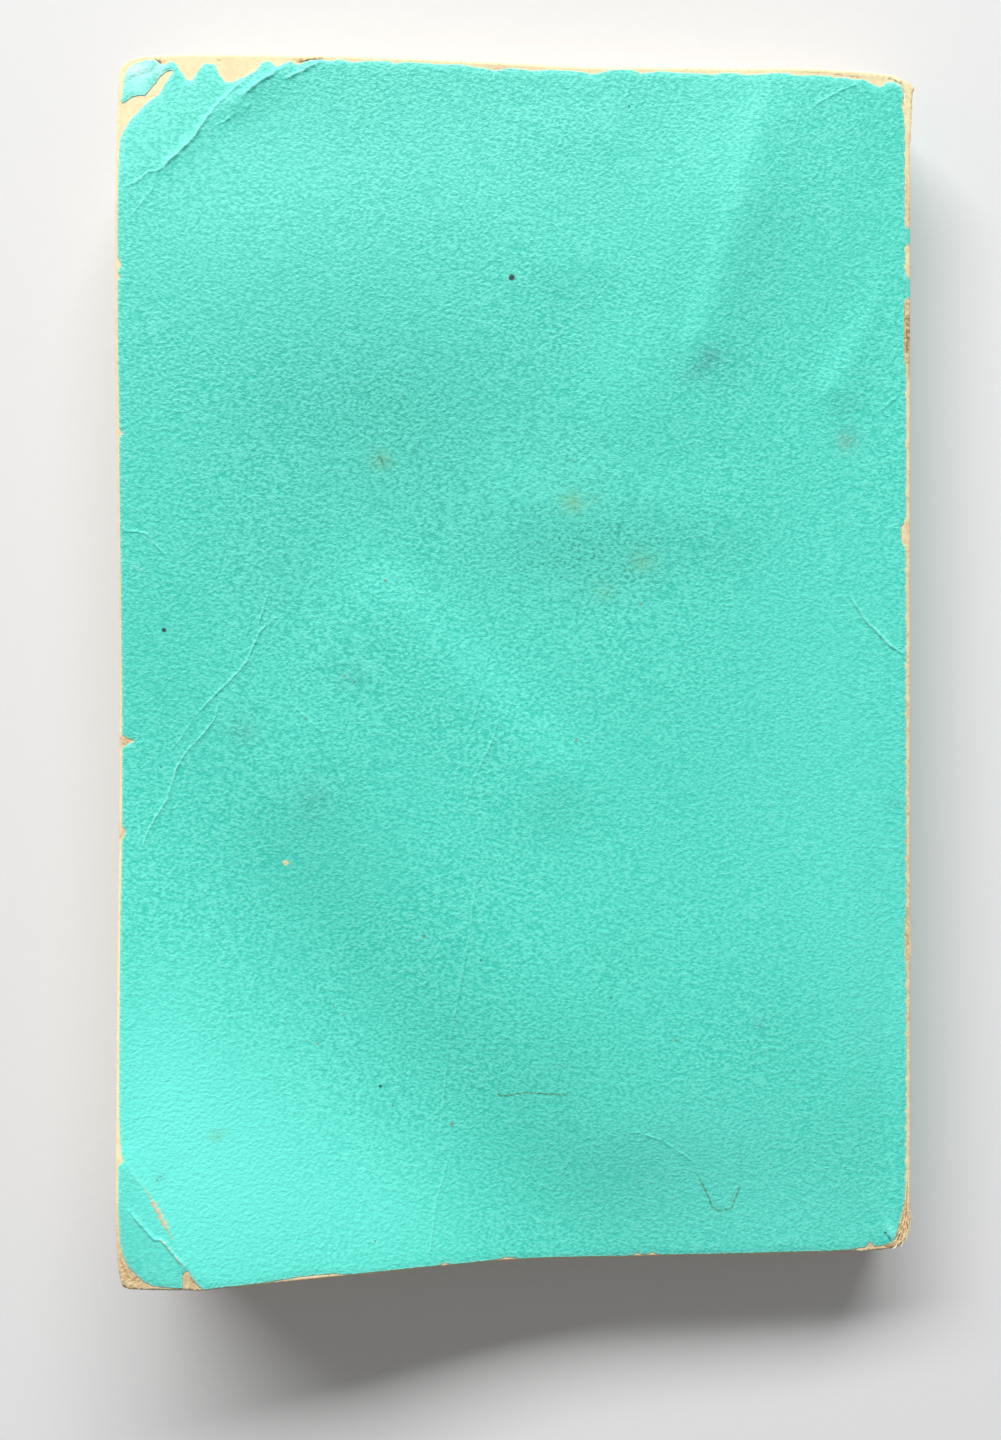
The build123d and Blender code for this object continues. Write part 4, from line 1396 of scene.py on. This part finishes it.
leaf_count = 100
leaves_in_signature = 5
page_inset = 0.4
page_radii = (1.5, 1.2, 1.2, 1.5)
page_step = 2.6             # between points round the block
page_depth = 0.04           # how far the leaves' edges lie inside the outline, at the least
leaf_depth = 0.22           # how much deeper single leaves, signatures and broad waves can lie
signature_depth = 0.14
wave_depth = 0.06
page_wavelength = 60.0
groove_depth = 0.12
top_page_depth = 0.25
unlifted_share = 0.12       # the lowest leaves don't follow the cover's curl
weld_gap = 0.002


def make_pages():
    outline = rounded_plan(-half_width + page_inset, glue_low[0], half_height - page_inset,
                           page_radii, page_step)
    outward = normals_of(outline, True)
    around = len(outline)
    along = np.arange(around) * page_step
    at_spine = outline[:, 0] > glue_low[0] - 0.3
    leaf_offsets = chance.uniform(0, 1, leaf_count) ** 2
    signature_offsets = chance.uniform(0, 1, leaf_count // leaves_in_signature + 1)
    signature_offsets = np.repeat(signature_offsets, leaves_in_signature)[:leaf_count]

    def ring(level, depth):
        """Points round the block at a share of its thickness, depth in from the outline."""
        depth = np.where(at_spine, 0.02, depth)
        plan = drawn_in(outline - outward * depth[:, None], page_lift_share * level)
        lift = ramp((level - unlifted_share) / (1 - unlifted_share)) * page_rise(plan[:, 0], plan[:, 1])
        return at_height(plan, pages_base + pages_thickness * level + lift)

    levels, rings = [], []
    for k in range(leaf_count):
        wave = np.abs(wave_depth * wavy(along, page_wavelength, 200 + k))
        depth = page_depth + leaf_depth * leaf_offsets[k] + signature_depth * signature_offsets[k] + wave
        groove = depth + groove_depth + 0.1 * signature_offsets[k]
        for share, inset in ((0, groove), (0.25, depth), (0.8, depth)):
            levels.append((k + share) / leaf_count)
            rings.append(ring(levels[-1], inset))
    levels.append(1.0)
    rings.append(ring(1.0, np.full(around, top_page_depth)))
    points = [np.vstack(rings)]
    leaf_numbers = [np.repeat(levels, around)]
    edge_numbers = [np.ones(len(points[0]))]
    faces = ring_faces(len(rings), around, True)
    smooth = [False] * len(faces)
    total = len(points[0])
    for level, rim in ((0.0, rings[0][:, :2]), (1.0, rings[-1][:, :2])):
        flat, triangles = filled(rim, grid(rim.min(0), rim.max(0), 3.2), 0.8)
        gap, _ = nearest_on(looped(rim), flat, 16.0)
        height = pages_base + pages_thickness * level + level * page_rise(flat[:, 0], flat[:, 1])
        points.append(at_height(flat, height))
        leaf_numbers.append(np.full(len(flat), level))
        edge_numbers.append(bell(gap, 6.0) * 0.8)
        if level == 0:
            triangles = triangles[:, ::-1]
        faces += (triangles + total).tolist()
        smooth += [True] * len(triangles)
        total += len(flat)
    numbers = {"leaf": np.concatenate(leaf_numbers), "edge": np.concatenate(edge_numbers)}
    piece = make_piece("pages", np.vstack(points), faces, smooth, page_paper, numbers)
    weld(piece)
    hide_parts("text_block")
    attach(piece, "book_block")


def weld(piece):
    """Joins points that lie on one another."""
    net = bmesh.new()
    net.from_mesh(piece.data)
    bmesh.ops.remove_doubles(net, verts=net.verts, dist=weld_gap * MM)
    net.to_mesh(piece.data)
    net.free()


# Stage, light and camera

# Lengths here are in metres
FLOOR_REACH = 3.0
FLOOR_DROP = 0.00002        # it lies a hair under the book


def make_floor():
    recipe = Recipe("pale_floor", roughness=0.9, specular=0.1)
    speckle = recipe.noise(recipe.place(), 2.0, 3.0)
    mesh = bpy.data.meshes.new("floor")
    corners = [(FLOOR_REACH * x, FLOOR_REACH * y, 0) for x, y in ((-1, -1), (1, -1), (1, 1), (-1, 1))]
    mesh.from_pydata(corners, [], [(0, 1, 2, 3)])
    mesh.materials.append(recipe.finish(recipe.mix(speckle, FLOOR_GREY, FLOOR_PALE)))
    floor = add_object("floor", mesh)
    floor.location.z = -FLOOR_DROP


KEY_DISTANCE = 2.6
KEY_ELEVATION = 30.0
KEY_BEARING = -12.0      # degrees from the head of the book; below zero is towards the fore-edge
KEY_SIZE = (3.4, 0.65)
KEY_POWER = 129.0
SKY = 0.22
CAMERA_RANGE = (0.01, 20)


def make_light():
    data = bpy.data.lights.new("window", "AREA")
    data.shape = "RECTANGLE"
    data.size, data.size_y = KEY_SIZE
    data.energy = KEY_POWER
    lamp = add_object("window", data)
    elevation, bearing = math.radians(KEY_ELEVATION), math.radians(KEY_BEARING)
    direction = Vector((math.sin(bearing) * math.cos(elevation), math.cos(bearing) * math.cos(elevation),
                        math.sin(elevation)))
    lamp.location = direction * KEY_DISTANCE
    lamp.rotation_euler = direction.to_track_quat("Z", "Y").to_euler()


def make_world():
    """Soft even sky, which the camera and reflections see as white."""
    world = bpy.data.worlds.new("sky")
    world.use_nodes = True
    bpy.context.scene.world = world
    nodes, links = world.node_tree.nodes, world.node_tree.links
    nodes.clear()
    path = nodes.new("ShaderNodeLightPath")
    seen = path.outputs["Is Camera Ray"]
    for other in ("Is Glossy Ray", "Is Transmission Ray"):
        either = nodes.new("ShaderNodeMath")
        either.operation = "MAXIMUM"
        links.new(seen, either.inputs[0])
        links.new(path.outputs[other], either.inputs[1])
        seen = either.outputs[0]
    mix = nodes.new("ShaderNodeMixShader")
    links.new(seen, mix.inputs[0])
    for strength, place in ((SKY, 1), (1.0, 2)):
        shade = nodes.new("ShaderNodeBackground")
        shade.inputs["Color"].default_value = (1, 1, 1, 1)
        shade.inputs["Strength"].default_value = strength
        links.new(shade.outputs[0], mix.inputs[place])
    out = nodes.new("ShaderNodeOutputWorld")
    links.new(mix.outputs[0], out.inputs["Surface"])


def make_camera():
    data = bpy.data.cameras.new("camera")
    data.sensor_width = SENSOR_MM
    data.lens = FOCAL_PX / PHOTO_HEIGHT * SENSOR_MM
    data.clip_start, data.clip_end = CAMERA_RANGE
    camera = add_object("camera", data)
    camera.location = [value * MM for value in camera_place]
    camera.rotation_euler = camera_turn
    bpy.context.scene.camera = camera


make_camera()
make_back_facing()
make_back_board()
make_corner_flare()
make_corner_fibres()
make_fold("back_fold", back_fold_z, 1, back_fold_paint(), back_fold_soil())
make_fold("front_fold", front_fold_z, -1, unpainted(fold_ys),
          0.5 + 0.35 * wavy(fold_ys, 9.0, 30))
make_front_facing()
make_front_board()
make_spine_facing()
make_spine_strip("spine_board_core", spine_board_low, spine_board_high, 0.5, core_paper,
                 "spine_board")
make_spine_strip("binding_glue_strip", glue_low, glue_high, 0.4, dry_glue, "spine_glue")
make_pages()
make_floor()
make_light()
make_world()
bpy.context.scene.view_settings.view_transform = "Standard"
